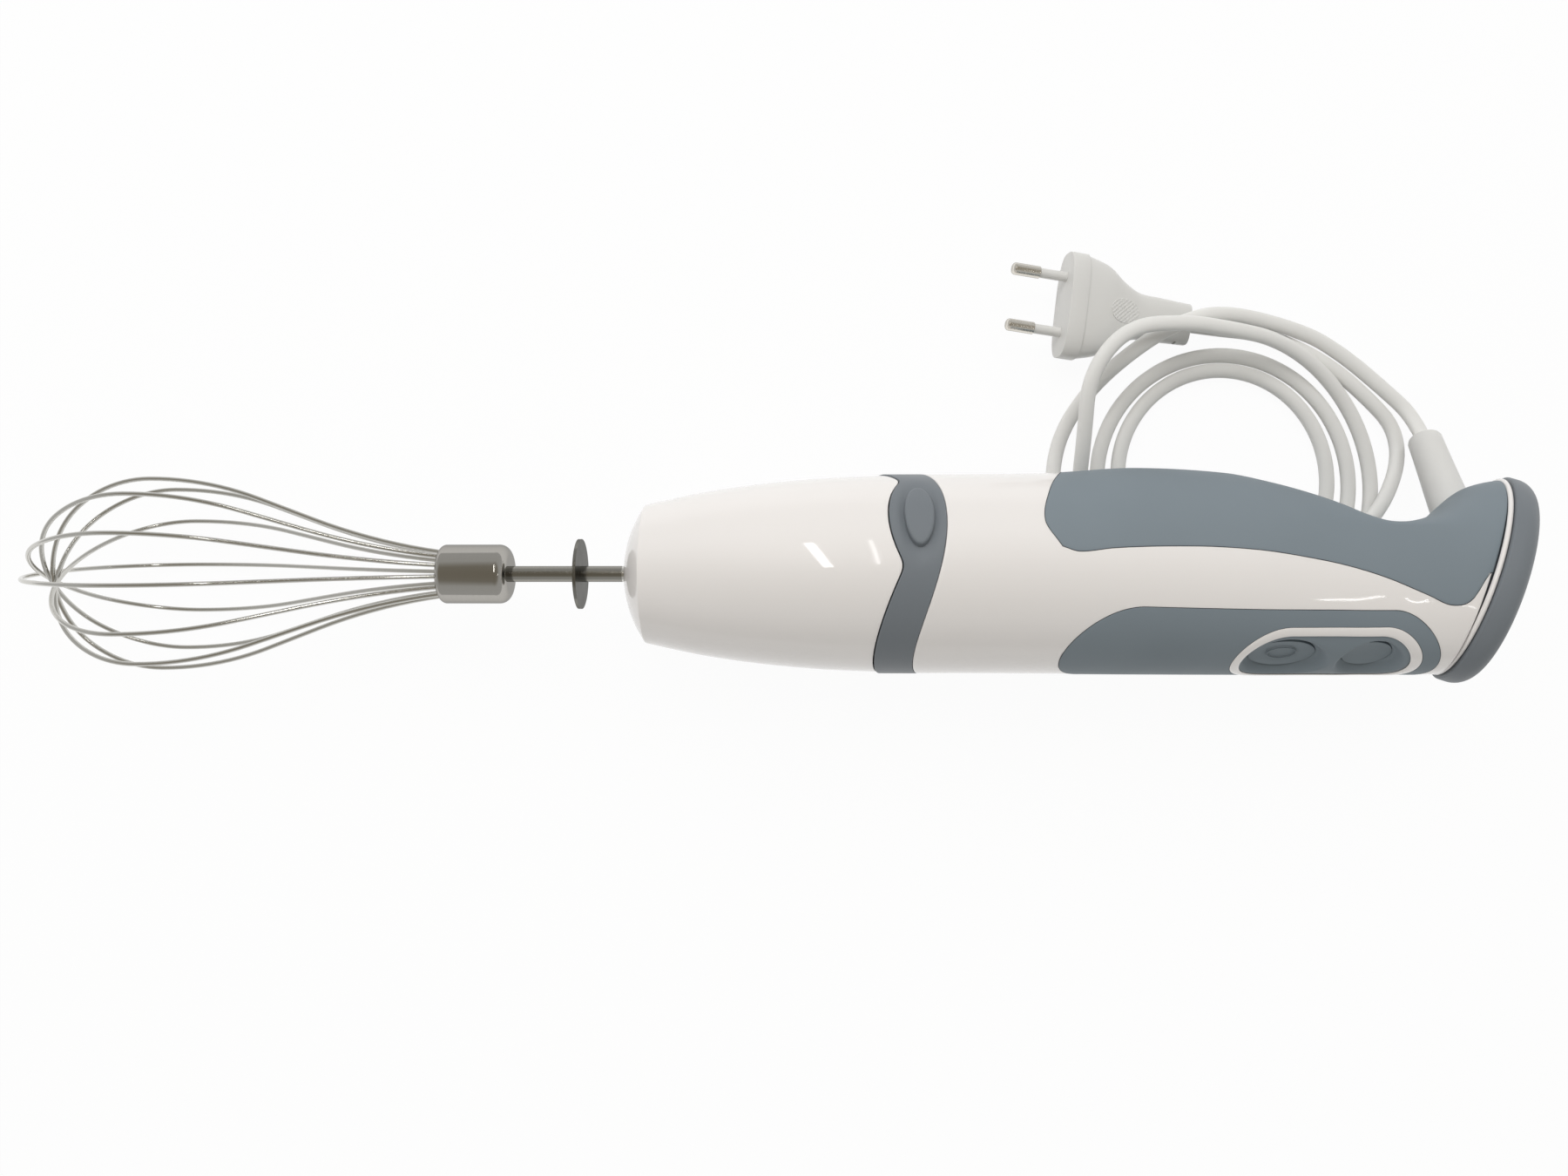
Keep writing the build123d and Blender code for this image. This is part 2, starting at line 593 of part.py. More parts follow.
def loop_path(loop):
    """Edges of one wire loop in its own plane: x along the drive axis and y across it."""
    flare0, flare1 = (radians(a) for a in WIRE_FLARE)
    start = (FERRULE_X[0], WIRE_CIRCLE)
    run0_y = start[1] + (start[0] - WIRE_RUN_X[0]) * tan((flare0 + flare1) / 2)
    run0 = (WIRE_RUN_X[0], run0_y)
    run1 = (WIRE_RUN_X[1], run0_y + (WIRE_RUN_X[0] - WIRE_RUN_X[1]) * tan(flare1))
    belly = (BELLY_X, run1[1] + (WIRE_RUN_X[1] - BELLY_X) * tan(flare1 / 2))
    tip = (TIP_X + WIRE_R + TIP_STEP * loop, 0.0)
    inside = (FERRULE_X[0] + WIRE_DEPTH * cos(flare0), WIRE_CIRCLE - WIRE_DEPTH * sin(flare0))

    def out(angle):
        return (-cos(angle), sin(angle))

    half = [
        Line(inside, start),
        TangentArc(start, run0, tangent=out(flare0)),
        Line(run0, run1),
        TangentArc(run1, belly, tangent=out(flare1)),
    ] + biarc(belly, (-1, 0), tip, (0, -1))
    back = []
    for edge in reversed(half):
        back.append(edge.mirror(Plane.XZ))
    return half + back, belly[1]


BELLY_R = loop_path(0)[1] + WIRE_R
for k in range(WIRE_LOOPS):
    edges, _ = loop_path(k)
    wire = swept_tube(edges, 2 * WIRE_R)
    turn = WIRE_TURN + 180 / WIRE_LOOPS * k - ROLL
    wire = Rot(90 - turn, 0, 0) * wire
    PIECES[f"whisk_wire_{k + 1}"] = wire
    ferrule = ferrule - wire
PIECES["whisk_ferrule"] = ferrule

# Motor
hexagon = RegularPolygon(HEX_FLAT / 2, 6, major_radius=False)
coupling_x = (cup_x + 3, FAN_X[0] - 6)
coupling_face = across(coupling_x[0]) * (hexagon - Circle(MOTOR_SHAFT_R))
PIECES["drive_coupling"] = extrude(coupling_face, amount=coupling_x[1] - coupling_x[0])
PIECES["motor_shaft"] = rod(MOTOR_SHAFT_R, coupling_x[0], REAR_X[1] + 3)
fan = tube(FAN_R, MOTOR_SHAFT_R, FAN_X[0], FAN_X[0] + 1.6) + tube(6.0, MOTOR_SHAFT_R, FAN_X[0], FAN_X[1])
for k in range(FAN_BLADES):
    blade = box((FAN_X[0] + 1, FAN_X[1]), (7.5, FAN_R - 0.6), (-0.7, 0.7))
    fan = fan + Rot(360 / FAN_BLADES * k, 0, 0) * blade
PIECES["cooling_fan"] = fan
screw_y = STATOR_R - 2.2


def bridge(x0, x1):
    plate = tube(STATOR_R + 1.5, BEARING_R, x0, x1)
    for s in (-1, 1):
        plate = plate - box((x0 - 1, x1 + 1), sorted((s * 9.5, s * 17.5)), (-11, 11))
        plate = plate - rod(1.6, x0 - 1, x1 + 1, 0, s * screw_y)
    return plate


PIECES["front_bridge"] = bridge(*BRIDGE_X)
PIECES["rear_bridge"] = bridge(*REAR_X)
bearings = [tube(BEARING_R - EPS, MOTOR_SHAFT_R + SHAFT_GAP, *x).solid() for x in (BRIDGE_X, REAR_X)]
PIECES["motor_bearings"] = Compound(bearings)
bore = ARMATURE_R + AIR_GAP
stator = tube(STATOR_R, STATOR_IN, *STATOR_X)
for s in (-1, 1):
    pole = box(STATOR_X, sorted((s * (bore - 1), s * (STATOR_IN + 1))), (-8.5, 8.5))
    stator = stator + pole
    stator = stator - rod(1.6, STATOR_X[0] - 1, STATOR_X[1] + 1, 0, s * screw_y)
stator = stator - rod(bore, STATOR_X[0] - 1, STATOR_X[1] + 1)
PIECES["motor_stator"] = stator
coils = []
for s in (-1, 1):
    reach = sorted((s * (bore + 0.6), s * (STATOR_IN - 0.6)))
    ends = (STATOR_X[0] - 3.2, STATOR_X[1] + 3.2)
    coil = box(ends, reach, (-11.4, 11.4)) - box(STATOR_X, (-30, 30), (-8.5, 8.5))
    coil = coil & tube(STATOR_IN - EPS, bore + 0.3, ends[0] - 1, ends[1] + 1)
    coils.append(coil.solid())
PIECES["field_coils"] = Compound(coils)
armature = tube(ARMATURE_R, MOTOR_SHAFT_R, STATOR_X[0] + 1, STATOR_X[1] - 1)
for k in range(SLOTS):
    slot = box((STATOR_X[0], STATOR_X[1]), (7.0, ARMATURE_R + 1), (-0.9, 0.9))
    armature = armature - Rot(360 / SLOTS * k, 0, 0) * slot
PIECES["armature_core"] = armature
PIECES["commutator"] = tube(COMMUTATOR_R, MOTOR_SHAFT_R, *COMMUTATOR_X)
mid = sum(COMMUTATOR_X) / 2
holders, brushes = [], []
for s in (-1, 1):
    brush_z = sorted((s * (COMMUTATOR_R + SLIDE_GAP), s * (COMMUTATOR_R + 9)))
    holder_z = sorted((s * (COMMUTATOR_R + 2.0), s * (STATOR_R - 6)))
    brush = box((mid - 2.5, mid + 2.5), (-3, 3), brush_z)
    holder = box((mid - 4.0, REAR_X[0]), (-4.5, 4.5), holder_z)
    holder -= box((mid - 2.5, mid + 2.5), (-3, 3), (-40, 40))
    holders.append(holder.solid())
    brushes.append(brush.solid())
PIECES["brush_holders"] = Compound(holders)
PIECES["carbon_brushes"] = Compound(brushes)
screws = []
for s in (-1, 1):
    screws.append(rod(1.6, BRIDGE_X[0] - 2, REAR_X[1] + 1.5, 0, s * screw_y).solid())
PIECES["motor_screws"] = Compound(screws)
mount_r = STATOR_R + 1.5


def mount(x0, x1):
    """A rubber ring between a bearing bridge and the inside of the handle."""
    return (rod(60, x0, x1) & inner) - rod(mount_r, x0 - 1, x1 + 1)


PIECES["motor_mounts"] = Compound([mount(*x).solid() for x in (BRIDGE_X, REAR_X)])

# Board with its switches, on two brackets across the handle
board = box(BOARD_X, (BOARD_Y - BOARD_T, BOARD_Y), (-BOARD_HALF, BOARD_HALF))
PIECES["circuit_board"] = board
switch_top = BOARD_Y - BOARD_T - 4.6
switches = []
for x, _ in BUTTONS.values():
    along = (x - SWITCH[0] / 2, x + SWITCH[0] / 2)
    body = box(along, (switch_top, BOARD_Y - BOARD_T), (-SWITCH[1] / 2, SWITCH[1] / 2))
    switches.append(body.solid())
PIECES["micro_switches"] = Compound(switches)
brackets = []
for x in (BOARD_X[0] + 3, BOARD_X[1] - 6):
    bracket = box((x, x + 3), (BOARD_Y, BOARD_Y + 4), (-60, 60)) & inner
    brackets.append(bracket.solid())
PIECES["board_brackets"] = Compound(brackets)

# From the device frame to the table
axis_rise = -BELLY_X * sin(radians(TIP))
DEVICE = Pos(0, 0, BELLY_R + axis_rise) * Rot(0, -TIP, 0) * Rot(-ROLL, 0, 0)


def on_table(point):
    return (DEVICE * Pos(*point)).position


# Lead: from the sleeve to the coil, the coil, and from the coil to the plug
def coil_point(turn):
    """The middle of the lead at an angle of turn, in degrees from +X."""
    angle = radians(turn)
    laid = (turn - COIL_START) / 360
    radius = COIL_R0 - COIL_PITCH * laid
    radius += COIL_CROWD * max(0.0, laid - 1) * ((1 + sin(angle)) / 2) ** 2
    height = LEAD_D / 2
    for centre, width, size in COIL_BULGES:
        if abs(turn - centre) < width:
            radius += size * cos(pi / 2 * (turn - centre) / width) ** 2
    for centre, before, after, size in COIL_HUMPS:
        width = before if turn < centre else after
        if abs(turn - centre) < width:
            height += size * cos(pi / 2 * (turn - centre) / width) ** 2
    return (COIL_CENTRE[0] + radius * cos(angle), COIL_CENTRE[1] + radius * sin(angle), height)


def coil_heading(turn):
    before, after = coil_point(turn - 0.5), coil_point(turn + 0.5)
    return (Vector(*after) - Vector(*before)).normalized()


coil_end = COIL_START + 360 * COIL_TURNS
steps = int(round((coil_end - COIL_START) / COIL_STEP))
turns = [COIL_START + (coil_end - COIL_START) * k / steps for k in range(steps + 1)]
coil_edges = []
coil_from = Vector(*coil_point(turns[0]))
coil_to = Vector(*coil_point(turns[-1]))
coil_edges.append(Line(coil_from - coil_heading(turns[0]) * LEAD_D, coil_from))
for a, b in zip(turns[:-1], turns[1:]):
    coil_edges += biarc(coil_point(a), coil_heading(a), coil_point(b), coil_heading(b))
coil_edges.append(Line(coil_to, coil_to + coil_heading(turns[-1]) * LEAD_D))
TABLE_PIECES["cord_coil"] = swept_tube(coil_edges, LEAD_D)
samples = [Vector(*coil_point(COIL_START + k * 3)) for k in range(int(360 * COIL_TURNS / 3) + 1)]
least = min(
    (samples[i] - samples[j]).length for i in range(len(samples)) for j in range(i + 20, len(samples))
)
coil_length = sum(e.length for e in coil_edges)
print("coil: least gap to itself", round(least - LEAD_D, 2), "length", round(coil_length, 1))


def free_run(name, points):
    """A tube along straight runs joined by tangent arcs."""
    points = [Vector(*p) for p in points]
    radii = []
    for a, b, c in zip(points, points[1:], points[2:]):
        into, out = (b - a), (c - b)
        turn = radians(into.get_angle(out))
        radii.append(0.45 * min(into.length, out.length) / tan(turn / 2))
    path = FilletPolyline(*points, radius=radii)
    edges = list(path.edges())
    solid = swept_tube(edges, LEAD_D)
    length = sum(e.length for e in edges)
    share = solid.volume / (pi * LEAD_D**2 / 4 * length)
    bends = [round(r, 1) for r in radii]
    print(name, "length", round(length, 1), "volume share", round(share, 3), "radii", bends)
    TABLE_PIECES[name] = solid
    return length


sleeve_end = on_table((SLEEVE_X, SLEEVE_END, 0))
sleeve_way = (on_table((SLEEVE_X, SLEEVE_END + 1, 0)) - sleeve_end).normalized()
coil_in = coil_from - coil_heading(turns[0]) * LEAD_D
lead_points = [
    sleeve_end,
    sleeve_end + sleeve_way * 14,
    (203.0, 64.5, 3.0),
    (191.0, 75.0, 2.3),
    (177.5, 83.0, 2.9),
    coil_in - coil_heading(turns[0]) * 13,
    coil_in,
]
free_run("cord_lead", lead_points)

plug_way = Vector(
    cos(radians(PLUG_PITCH)) * cos(radians(PLUG_HEADING)),
    cos(radians(PLUG_PITCH)) * sin(radians(PLUG_HEADING)),
    sin(radians(PLUG_PITCH)),
)
plug_tail = Vector(*PLUG_TAIL)
coil_out = coil_to + coil_heading(turns[-1]) * LEAD_D
tail_points = [
    coil_out,
    coil_out + coil_heading(turns[-1]) * 10,
    (171.5, 5.2, 5.7),
    (180.8, 9.0, 11.4),
    (190.0, 12.3, 11.5),
    (201.4, 23.3, 8.6),
    (209.0, 38.7, 4.3),
    (207.9, 50.9, 2.4),
    (199.4, 60.2, 2.25),
    (188.0, 70.3, 2.2),
    (174.9, 77.9, 2.25),
    (161.0, 82.6, 2.6),
    plug_tail - plug_way * 10 + Vector(0, 0, 0.6),
    plug_tail,
]
free_run("cord_tail", tail_points)

# Plug
plug_side = Vector(-sin(radians(PLUG_HEADING)), cos(radians(PLUG_HEADING)), 0)
PLUG = Plane(plug_tail, x_dir=plug_side, z_dir=plug_way)


def plug_section(at, half):
    return PLUG.offset(at) * RectangleRounded(2 * half[0], 2 * half[1], min(half) * 0.8)


body_from = PLUG_TAIL_L
front_from = body_from + PLUG_BODY_L - PLUG_FRONT_L
plug_body = loft(
    [
        plug_section(0, PLUG_TAIL_HALF),
        plug_section(body_from * 0.63, (PLUG_TAIL_HALF[0] + 0.5, PLUG_TAIL_HALF[1] + 0.4)),
        plug_section(body_from, (PLUG_TAIL_HALF[0] + 0.9, PLUG_TAIL_HALF[1] + 0.8)),
        plug_section(body_from + 6, (PLUG_HALF[0] - 7.0, PLUG_HALF[1] - 1.85)),
        plug_section(body_from + 12, (PLUG_HALF[0] - 2.8, PLUG_HALF[1] - 0.75)),
        plug_section(front_from, (PLUG_HALF[0] - PLUG_STEP, PLUG_HALF[1] - PLUG_STEP)),
    ]
)
plug_body = plug_body + extrude(plug_section(front_from, PLUG_HALF), amount=PLUG_FRONT_L)
face_at = body_from + PLUG_BODY_L
pins, sleeves = [], []
for s in (-1, 1):
    across_at = Pos(s * PLUG_PIN_SPREAD / 2, 0)
    root_face = PLUG.offset(face_at - PLUG_PIN_ROOT) * across_at * Circle(PLUG_SLEEVE_R - 0.4)
    root = extrude(root_face, amount=PLUG_PIN_ROOT + PLUG_SLEEVE_L)
    tip_face = PLUG.offset(face_at + PLUG_SLEEVE_L) * across_at * Circle(PLUG_PIN_R)
    tip = extrude(tip_face, amount=PLUG_PIN_L - PLUG_SLEEVE_L)
    tip = fillet(tip.edges().filter_by(GeomType.CIRCLE).sort_by(Axis(plug_tail, plug_way))[-1], 1.2)
    sleeve_face = across_at * (Circle(PLUG_SLEEVE_R) - Circle(PLUG_SLEEVE_R - 0.4))
    sleeve = extrude(PLUG.offset(face_at) * sleeve_face, amount=PLUG_SLEEVE_L)
    plug_body = plug_body - root
    pins.append((root + tip).solid())
    sleeves.append(sleeve.solid())
TABLE_PIECES["plug_body"] = plug_body
TABLE_PIECES["plug_pins"] = Compound(pins)
TABLE_PIECES["plug_pin_sleeves"] = Compound(sleeves)

# Last shift: the origin is under the middle of the device, on the table
placed = {name: DEVICE * piece for name, piece in PIECES.items()}
kept = [piece for name, piece in placed.items() if name != "cord_sleeve"]
measured = Compound([solid for piece in kept for solid in piece.solids()]).bounding_box()
SHIFT = Pos(-(measured.min.X + measured.max.X) / 2, -(measured.min.Y + measured.max.Y) / 2, -measured.min.Z)
placed.update(TABLE_PIECES)
os.makedirs("parts", exist_ok=True)
for name, piece in placed.items():
    moved = SHIFT * piece
    solids = moved.solids()
    export_step(solids[0] if len(solids) == 1 else Compound(solids), f"parts/{name}.step")
print("pieces", len(placed), "shift", SHIFT.position, "device", DEVICE.position, DEVICE.orientation)
print("size", measured.size, "belly radius", round(BELLY_R, 2))
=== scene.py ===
"""Looks of a stick mixer with a whisk attachment, lying on a table on its own coiled mains lead.

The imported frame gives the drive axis, the back of the handle and the table. Pieces of the device are drawn
in millimetres in the device frame (X along the drive axis towards the end cap, Y to the back, Z to the
visible side) and carried into the row frame by DEVICE. The lead is drawn in millimetres on the table and
carried by TABLE.
"""

import json
from math import atan2, copysign, cos, exp, hypot, log, pi, radians, sin, sqrt, tan

import bpy
from bpy.props import FloatProperty, FloatVectorProperty, PointerProperty
from bpy.types import Operator, Panel, PropertyGroup
from mathutils import Matrix, Vector


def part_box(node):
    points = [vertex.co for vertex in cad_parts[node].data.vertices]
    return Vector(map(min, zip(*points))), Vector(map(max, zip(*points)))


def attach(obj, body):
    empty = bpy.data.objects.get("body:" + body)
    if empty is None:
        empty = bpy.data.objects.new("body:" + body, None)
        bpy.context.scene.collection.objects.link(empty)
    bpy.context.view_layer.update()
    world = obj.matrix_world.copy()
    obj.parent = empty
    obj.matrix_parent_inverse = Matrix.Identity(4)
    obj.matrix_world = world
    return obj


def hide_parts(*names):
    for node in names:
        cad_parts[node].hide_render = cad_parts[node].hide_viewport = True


bl_info = {
    "name": "Whisk mixer looks",
    "version": (1, 0, 0),
    "blender": (4, 5, 0),
    "location": "View3D > Sidebar > Mixer",
    "description": "Models and finishes the visible pieces of a stick mixer with a whisk and a coiled lead",
    "category": "Object",
}

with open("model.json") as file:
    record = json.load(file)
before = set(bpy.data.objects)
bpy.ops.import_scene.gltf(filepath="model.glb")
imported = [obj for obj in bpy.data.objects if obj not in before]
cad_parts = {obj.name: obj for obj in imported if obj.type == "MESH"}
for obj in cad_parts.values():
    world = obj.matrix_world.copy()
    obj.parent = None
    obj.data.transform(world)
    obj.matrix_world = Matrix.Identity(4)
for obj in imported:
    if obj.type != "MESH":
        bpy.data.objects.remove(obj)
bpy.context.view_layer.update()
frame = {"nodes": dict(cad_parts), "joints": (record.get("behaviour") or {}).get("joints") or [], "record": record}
JOINTS = {joint["name"]: joint for joint in frame["joints"]}
MM = 0.001

# Where the frame puts the device and the table
DRIVE = Vector(JOINTS["whisk_spin"]["axis"])
BACK = Vector(JOINTS["speed_press"]["axis"])
PLACE = Vector(JOINTS["whisk_spin"]["pos_m"])
FLOOR_Z = min(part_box(node)[0].z for node in ("cord_lead", "cord_coil", "cord_tail", "whisk_wire_1"))
DEVICE_TURN = Matrix((DRIVE, BACK, DRIVE.cross(BACK))).transposed().to_4x4()
DEVICE = Matrix.Translation(PLACE) @ DEVICE_TURN @ Matrix.Scale(MM, 4)
TABLE = Matrix.Translation((PLACE.x, PLACE.y, FLOOR_Z)) @ Matrix.Scale(MM, 4)

# Handle: X, front depth, back depth and half width of its sections
HANDLE = [
    (34.0, 31.0, 31.0, 31.0),
    (60.0, 31.0, 31.2, 30.8),
    (85.0, 31.3, 32.2, 30.3),
    (109.0, 31.7, 34.8, 29.5),
    (137.0, 32.2, 33.2, 28.0),
    (150.0, 32.4, 29.3, 27.0),
    (160.0, 32.5, 24.6, 26.3),
    (168.0, 32.7, 19.1, 25.7),
    (174.0, 32.7, 12.5, 25.3),
    (179.0, 32.8, 8.3, 24.9),
    (184.0, 32.9, 7.8, 24.7),
    (189.0, 33.0, 9.8, 24.5),
    (194.0, 33.0, 12.5, 24.3),
    (199.0, 33.0, 15.9, 24.4),
    (205.0, 33.0, 21.3, 25.0),
    (213.0, 33.0, 27.3, 26.5),
    (224.0, 33.0, 29.8, 28.0),
    (234.0, 33.0, 30.4, 28.6),
]
BODY_R = 31.0
SKIN_DEPTH = 1.2  # thickness of the modelled outer skins
SOFT_DEPTH = 0.8  # thickness of the soft skins over the white shell
SOFT_LIFT = 0.08  # how far the soft skins stand out from the white shell
END_X = 211.2
END_LEAN = radians(23.4)
BEAD_T = 1.8
BEAD_R = BEAD_T * 0.42  # radius of the bead's round section
BEAD_HALF = (34.2, 28.0)
CAP_SHIFT = -0.9
# Lower edge of the soft grip and its blunt front end, X and Y
GRIP_EDGE = [
    (80.6, -10.2), (85.5, -11.6), (95.6, -10.5), (110.6, -9.7), (125.8, -9.5), (140.8, -10.3), (155.8, -12.3),
    (165.7, -14.3), (175.5, -17.1), (185.3, -20.7), (191.8, -23.0), (197.7, -21.8), (203.0, -15.0),
]
# Front end of the soft grip: turn from the front in degrees, and X
GRIP_NOSE = [(70.9, 80.6), (86.0, 76.3), (108.0, 79.0), (144.0, 86.4), (180.0, 88.5)]
GRIP_TUCK = 0.1  # how far the grip goes under the bead
# How far the white shell gives way under the soft skins, and how far inside their edges it starts to
SINK_DEPTH = 0.35
SINK_INSET_GRIP = 0.4
SINK_INSET_PANEL = 0.6
SINK_TURN = 0.05  # turn over which it gives way, in radians
# Long ovals on the front: left end, right end, half width after the left taper, length of the taper, half
# width at the right
PANEL_OVAL = (82.2, 192.2, 18.8, 22.0, 16.8)
BEZEL_OVAL = (132.6, 187.3, 13.5, 14.5, 13.3)
PAD_OVAL = (135.2, 184.0, 11.0, 12.8, 10.9)
# Buttons: X, half length and half width of the face
BUTTONS = {"speed_button": (148.0, 9.6, 6.6), "turbo_button": (173.0, 7.0, 6.2)}
FACE_Y = -28.6  # height of the button faces
MARK_HALF = (4.2, 2.9)  # raised oval on the first button
RECESS_OPEN = (2.3, 2.6)  # how far the recess opens from its foot to its rim, along and across
RECESS_DEPTH = 3.5
RECESS_REACH = 1.12  # where the recess fades out, in shares of its rim
PAD_SINK = 0.25  # how far the pad lies below the handle's surface
WELL_DEPTH = 2.4  # below the recess, under a button
WELL_GAP = 0.3  # round a button
GAP_SHADE_LINE_R = 0.00022  # radius of the dark line of painted shade in the gap round a button, in metres
GAP_SHADE_LINE_SINK = 0.9  # how far the painted gap shade lies below the button's face
MARK_LINE_R = 0.00018  # radius of the raised oval's line, in metres
MARK_LINE_SINK = 0.08
# Coupling ring
RING_VALLEY_X = 31.2
RING_PEAK = (35.7, 15.4)
RING_SLOPE = 0.538
RING_SOFT = 0.9  # how soft the peaks of its left edge are
RING_RIGHT_X = 47.9
RING_RIGHT_R = 57.0
RELEASE_X = 40.0
RELEASE_HALF = (4.4, 10.2)
RING_GAP = 0.12  # between the ring and the white shell
SEAM_GAP = 0.4  # between the ring and the attachment
# Attachment: nose, rim of the nose and profile, X and radius
NOSE_X = -50.0
NOSE_EDGE = (-43.0, 21.8)
GEARBOX_PROFILE = [(-26.0, 25.4), (-12.3, 27.5), (1.4, 29.0), (15.0, 30.0), (40.0, 30.9)]
NOSE_HOLE_R = 3.0
WIRES = 6
# Lead, on the table
SLEEVE_X = 214.0
SLEEVE_END = 49.5
# Sleeve: Y and radius
SLEEVE_PROFILE = [
    (18.0, 6.3),
    (30.0, 6.0),
    (42.0, 5.55),
    (50.0, 5.3),
    (54.0, 5.2),
    (54.8, 4.9),
    (55.0, 4.4),
    (55.0, 2.6),
]
LEAD_START = (SLEEVE_END - 2.0, SLEEVE_END + 14.0)  # first two points of the lead, straight out of the sleeve
COIL_CENTRE = (148.0, 30.0)
COIL_R0 = 59.0
COIL_PITCH = 8.2
COIL_TURNS = 3.5
COIL_START = 90.0
COIL_STEP = 18.0
COIL_BULGES = [(125.0, 45.0, -3.2), (492.0, 40.0, 13.0)]
COIL_HUMPS = [(119.0, 60.0, 46.0, 13.9), (490.0, 112.0, 79.0, 20.6)]
COIL_CROWD = 3.0
LEAD_RISE = 2.2  # height of the lead's middle where it lies on the table
LEAD_IN = [(203.0, 64.5, 3.0), (191.0, 75.0, 2.3), (177.5, 83.0, 2.9)]
LEAD_OUT = [
    (171.5, 5.2, 5.7),
    (180.8, 9.0, 11.4),
    (190.0, 12.3, 11.5),
    (201.4, 23.3, 8.6),
    (209.0, 38.7, 4.3),
    (207.9, 50.9, 2.4),
    (199.4, 60.2, 2.25),
    (188.0, 70.3, 2.2),
    (174.9, 77.9, 2.25),
    (161.0, 82.6, 2.6),
]
PLUG_TAIL = Vector((137.0, 85.0, 3.9))
PLUG_HEADING = radians(173.5)
PLUG_PITCH = radians(10.0)
PLUG_WAY = Vector(
    (cos(PLUG_PITCH) * cos(PLUG_HEADING), cos(PLUG_PITCH) * sin(PLUG_HEADING), sin(PLUG_PITCH))
)
PLUG_SIDE = Vector((-sin(PLUG_HEADING), cos(PLUG_HEADING), 0))
PLUG_TURN = Matrix((PLUG_SIDE, PLUG_WAY.cross(PLUG_SIDE), PLUG_WAY)).transposed().to_4x4()
# Plug frame: X to the side, Y up through the plug, Z from its tail to its pins
PLUG = TABLE @ Matrix.Translation(PLUG_TAIL) @ PLUG_TURN
# Plug: distance from its tail, half width, half thickness
PLUG_SECTIONS = [
    (0.0, 6.9, 3.1),
    (12.0, 7.4, 3.5),
    (19.0, 7.8, 3.9),
    (25.0, 10.6, 5.0),
    (31.0, 14.8, 6.1),
    (39.0, 17.2, 6.45),
]
PLUG_HALF = (17.6, 6.85)
PLUG_FRONT = (39.0, 45.0)
PLUG_SQUARE = 3.0  # how square the plug's sections are; 2 is an oval
PLUG_SLOTS = (4.5, 9.8)  # from the tail
SLOT_SIZE = Vector((2.6, 3.6, 0.9))
PLUG_PATCH = (25.0, 5.5, 4.2)  # rough finger patch: middle, half length, half width
PATCH_PITCH = 1.5  # between its diamonds
PATCH_LIFT = (0.02, 0.3)  # at the foot of a diamond, and its height for each share of the pitch
PATCH_SINK = 0.1  # how far its border goes into the plug
# The photograph's view: straight down, from above the middle of the gearbox
VIEW_HEIGHT = 0.369  # above the drive axis
VIEW_ASIDE = -0.0044  # from the drive axis
VIEW_LENS = 27.04
VIEW_SENSOR = 36.0


class MixerSizes(PropertyGroup):
    """Sizes that only the looks need."""

    lead_width: FloatProperty(
        name="Lead width",
        description="Width of the flat lead",
        default=0.005,
        unit="LENGTH",
    )
    lead_thickness: FloatProperty(
        name="Lead thickness",
        description="Thickness of the flat lead",
        default=0.0036,
        unit="LENGTH",
    )
    # Painted shade: the dark line is a fine near-black tube laid where the groove between two mouldings is in
    # shade
    seam_radius: FloatProperty(
        name="Seam line",
        description="Radius of the dark line between two mouldings",
        default=0.0001,
        unit="LENGTH",
    )
    rim_round: FloatProperty(
        name="Rim rounding",
        description="Rounding of the rims of the outer skins",
        default=0.0003,
        unit="LENGTH",
    )


class MixerColours(PropertyGroup):
    """Base colours of the finishes."""

    white: FloatVectorProperty(
        name="White",
        description="Glossy body plastic",
        subtype="COLOR",
        size=3,
        default=(0.84, 0.81, 0.79),
    )
    grip: FloatVectorProperty(
        name="Grip",
        description="Soft grip and front panel",
        subtype="COLOR",
        size=3,
        default=(0.215, 0.255, 0.285),
    )
    cap: FloatVectorProperty(
        name="Cap",
        description="End cap and coupling ring",
        subtype="COLOR",
        size=3,
        default=(0.185, 0.205, 0.225),
    )
    lead: FloatVectorProperty(
        name="Lead",
        description="Lead, sleeve and plug",
        subtype="COLOR",
        size=3,
        default=(0.81, 0.805, 0.785),
    )
    steel: FloatVectorProperty(
        name="Steel",
        description="Wires of the whisk",
        subtype="COLOR",
        size=3,
        default=(0.64, 0.63, 0.595),
    )


# Selecting, editing and finishing
def only(obj):
    bpy.ops.object.select_all(action="DESELECT")
    obj.select_set(True)
    bpy.context.view_layer.objects.active = obj


def edit_all(obj):
    only(obj)
    bpy.ops.object.mode_set(mode="EDIT")
    bpy.ops.mesh.select_all(action="SELECT")


def leave_edit():
    bpy.ops.object.mode_set(mode="OBJECT")


def modify(obj, kind, **values):
    """Adds a modifier with these values and applies it."""
    modifier = obj.modifiers.new(kind.lower(), kind)
    for key, value in values.items():
        setattr(modifier, key, value)
    only(obj)
    bpy.ops.object.modifier_apply(modifier=modifier.name)


def cut(obj, tool):
    """Takes a tool's shape out of a piece, and the tool away."""
    modify(obj, "BOOLEAN", operation="DIFFERENCE", solver="EXACT", object=tool)
    bpy.data.objects.remove(tool)


def smooth(obj, angle=35.0):
    only(obj)
    bpy.ops.object.shade_smooth_by_angle(angle=radians(angle))


def named(obj, name):
    obj.name = name
    obj.data.name = name
    return obj


def dress(obj, body, slot, material, *nodes):
    """Gives a piece its finish and its body, and hides the nodes that it stands for."""
    obj.data.materials.clear()
    obj.data.materials.append(material)
    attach(obj, body)
    if nodes:
        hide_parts(*nodes)
    return obj


def outward(point):
    """From the drive axis to a point, across the axis."""
    arm = point - PLACE
    return arm - DRIVE * arm.dot(DRIVE)


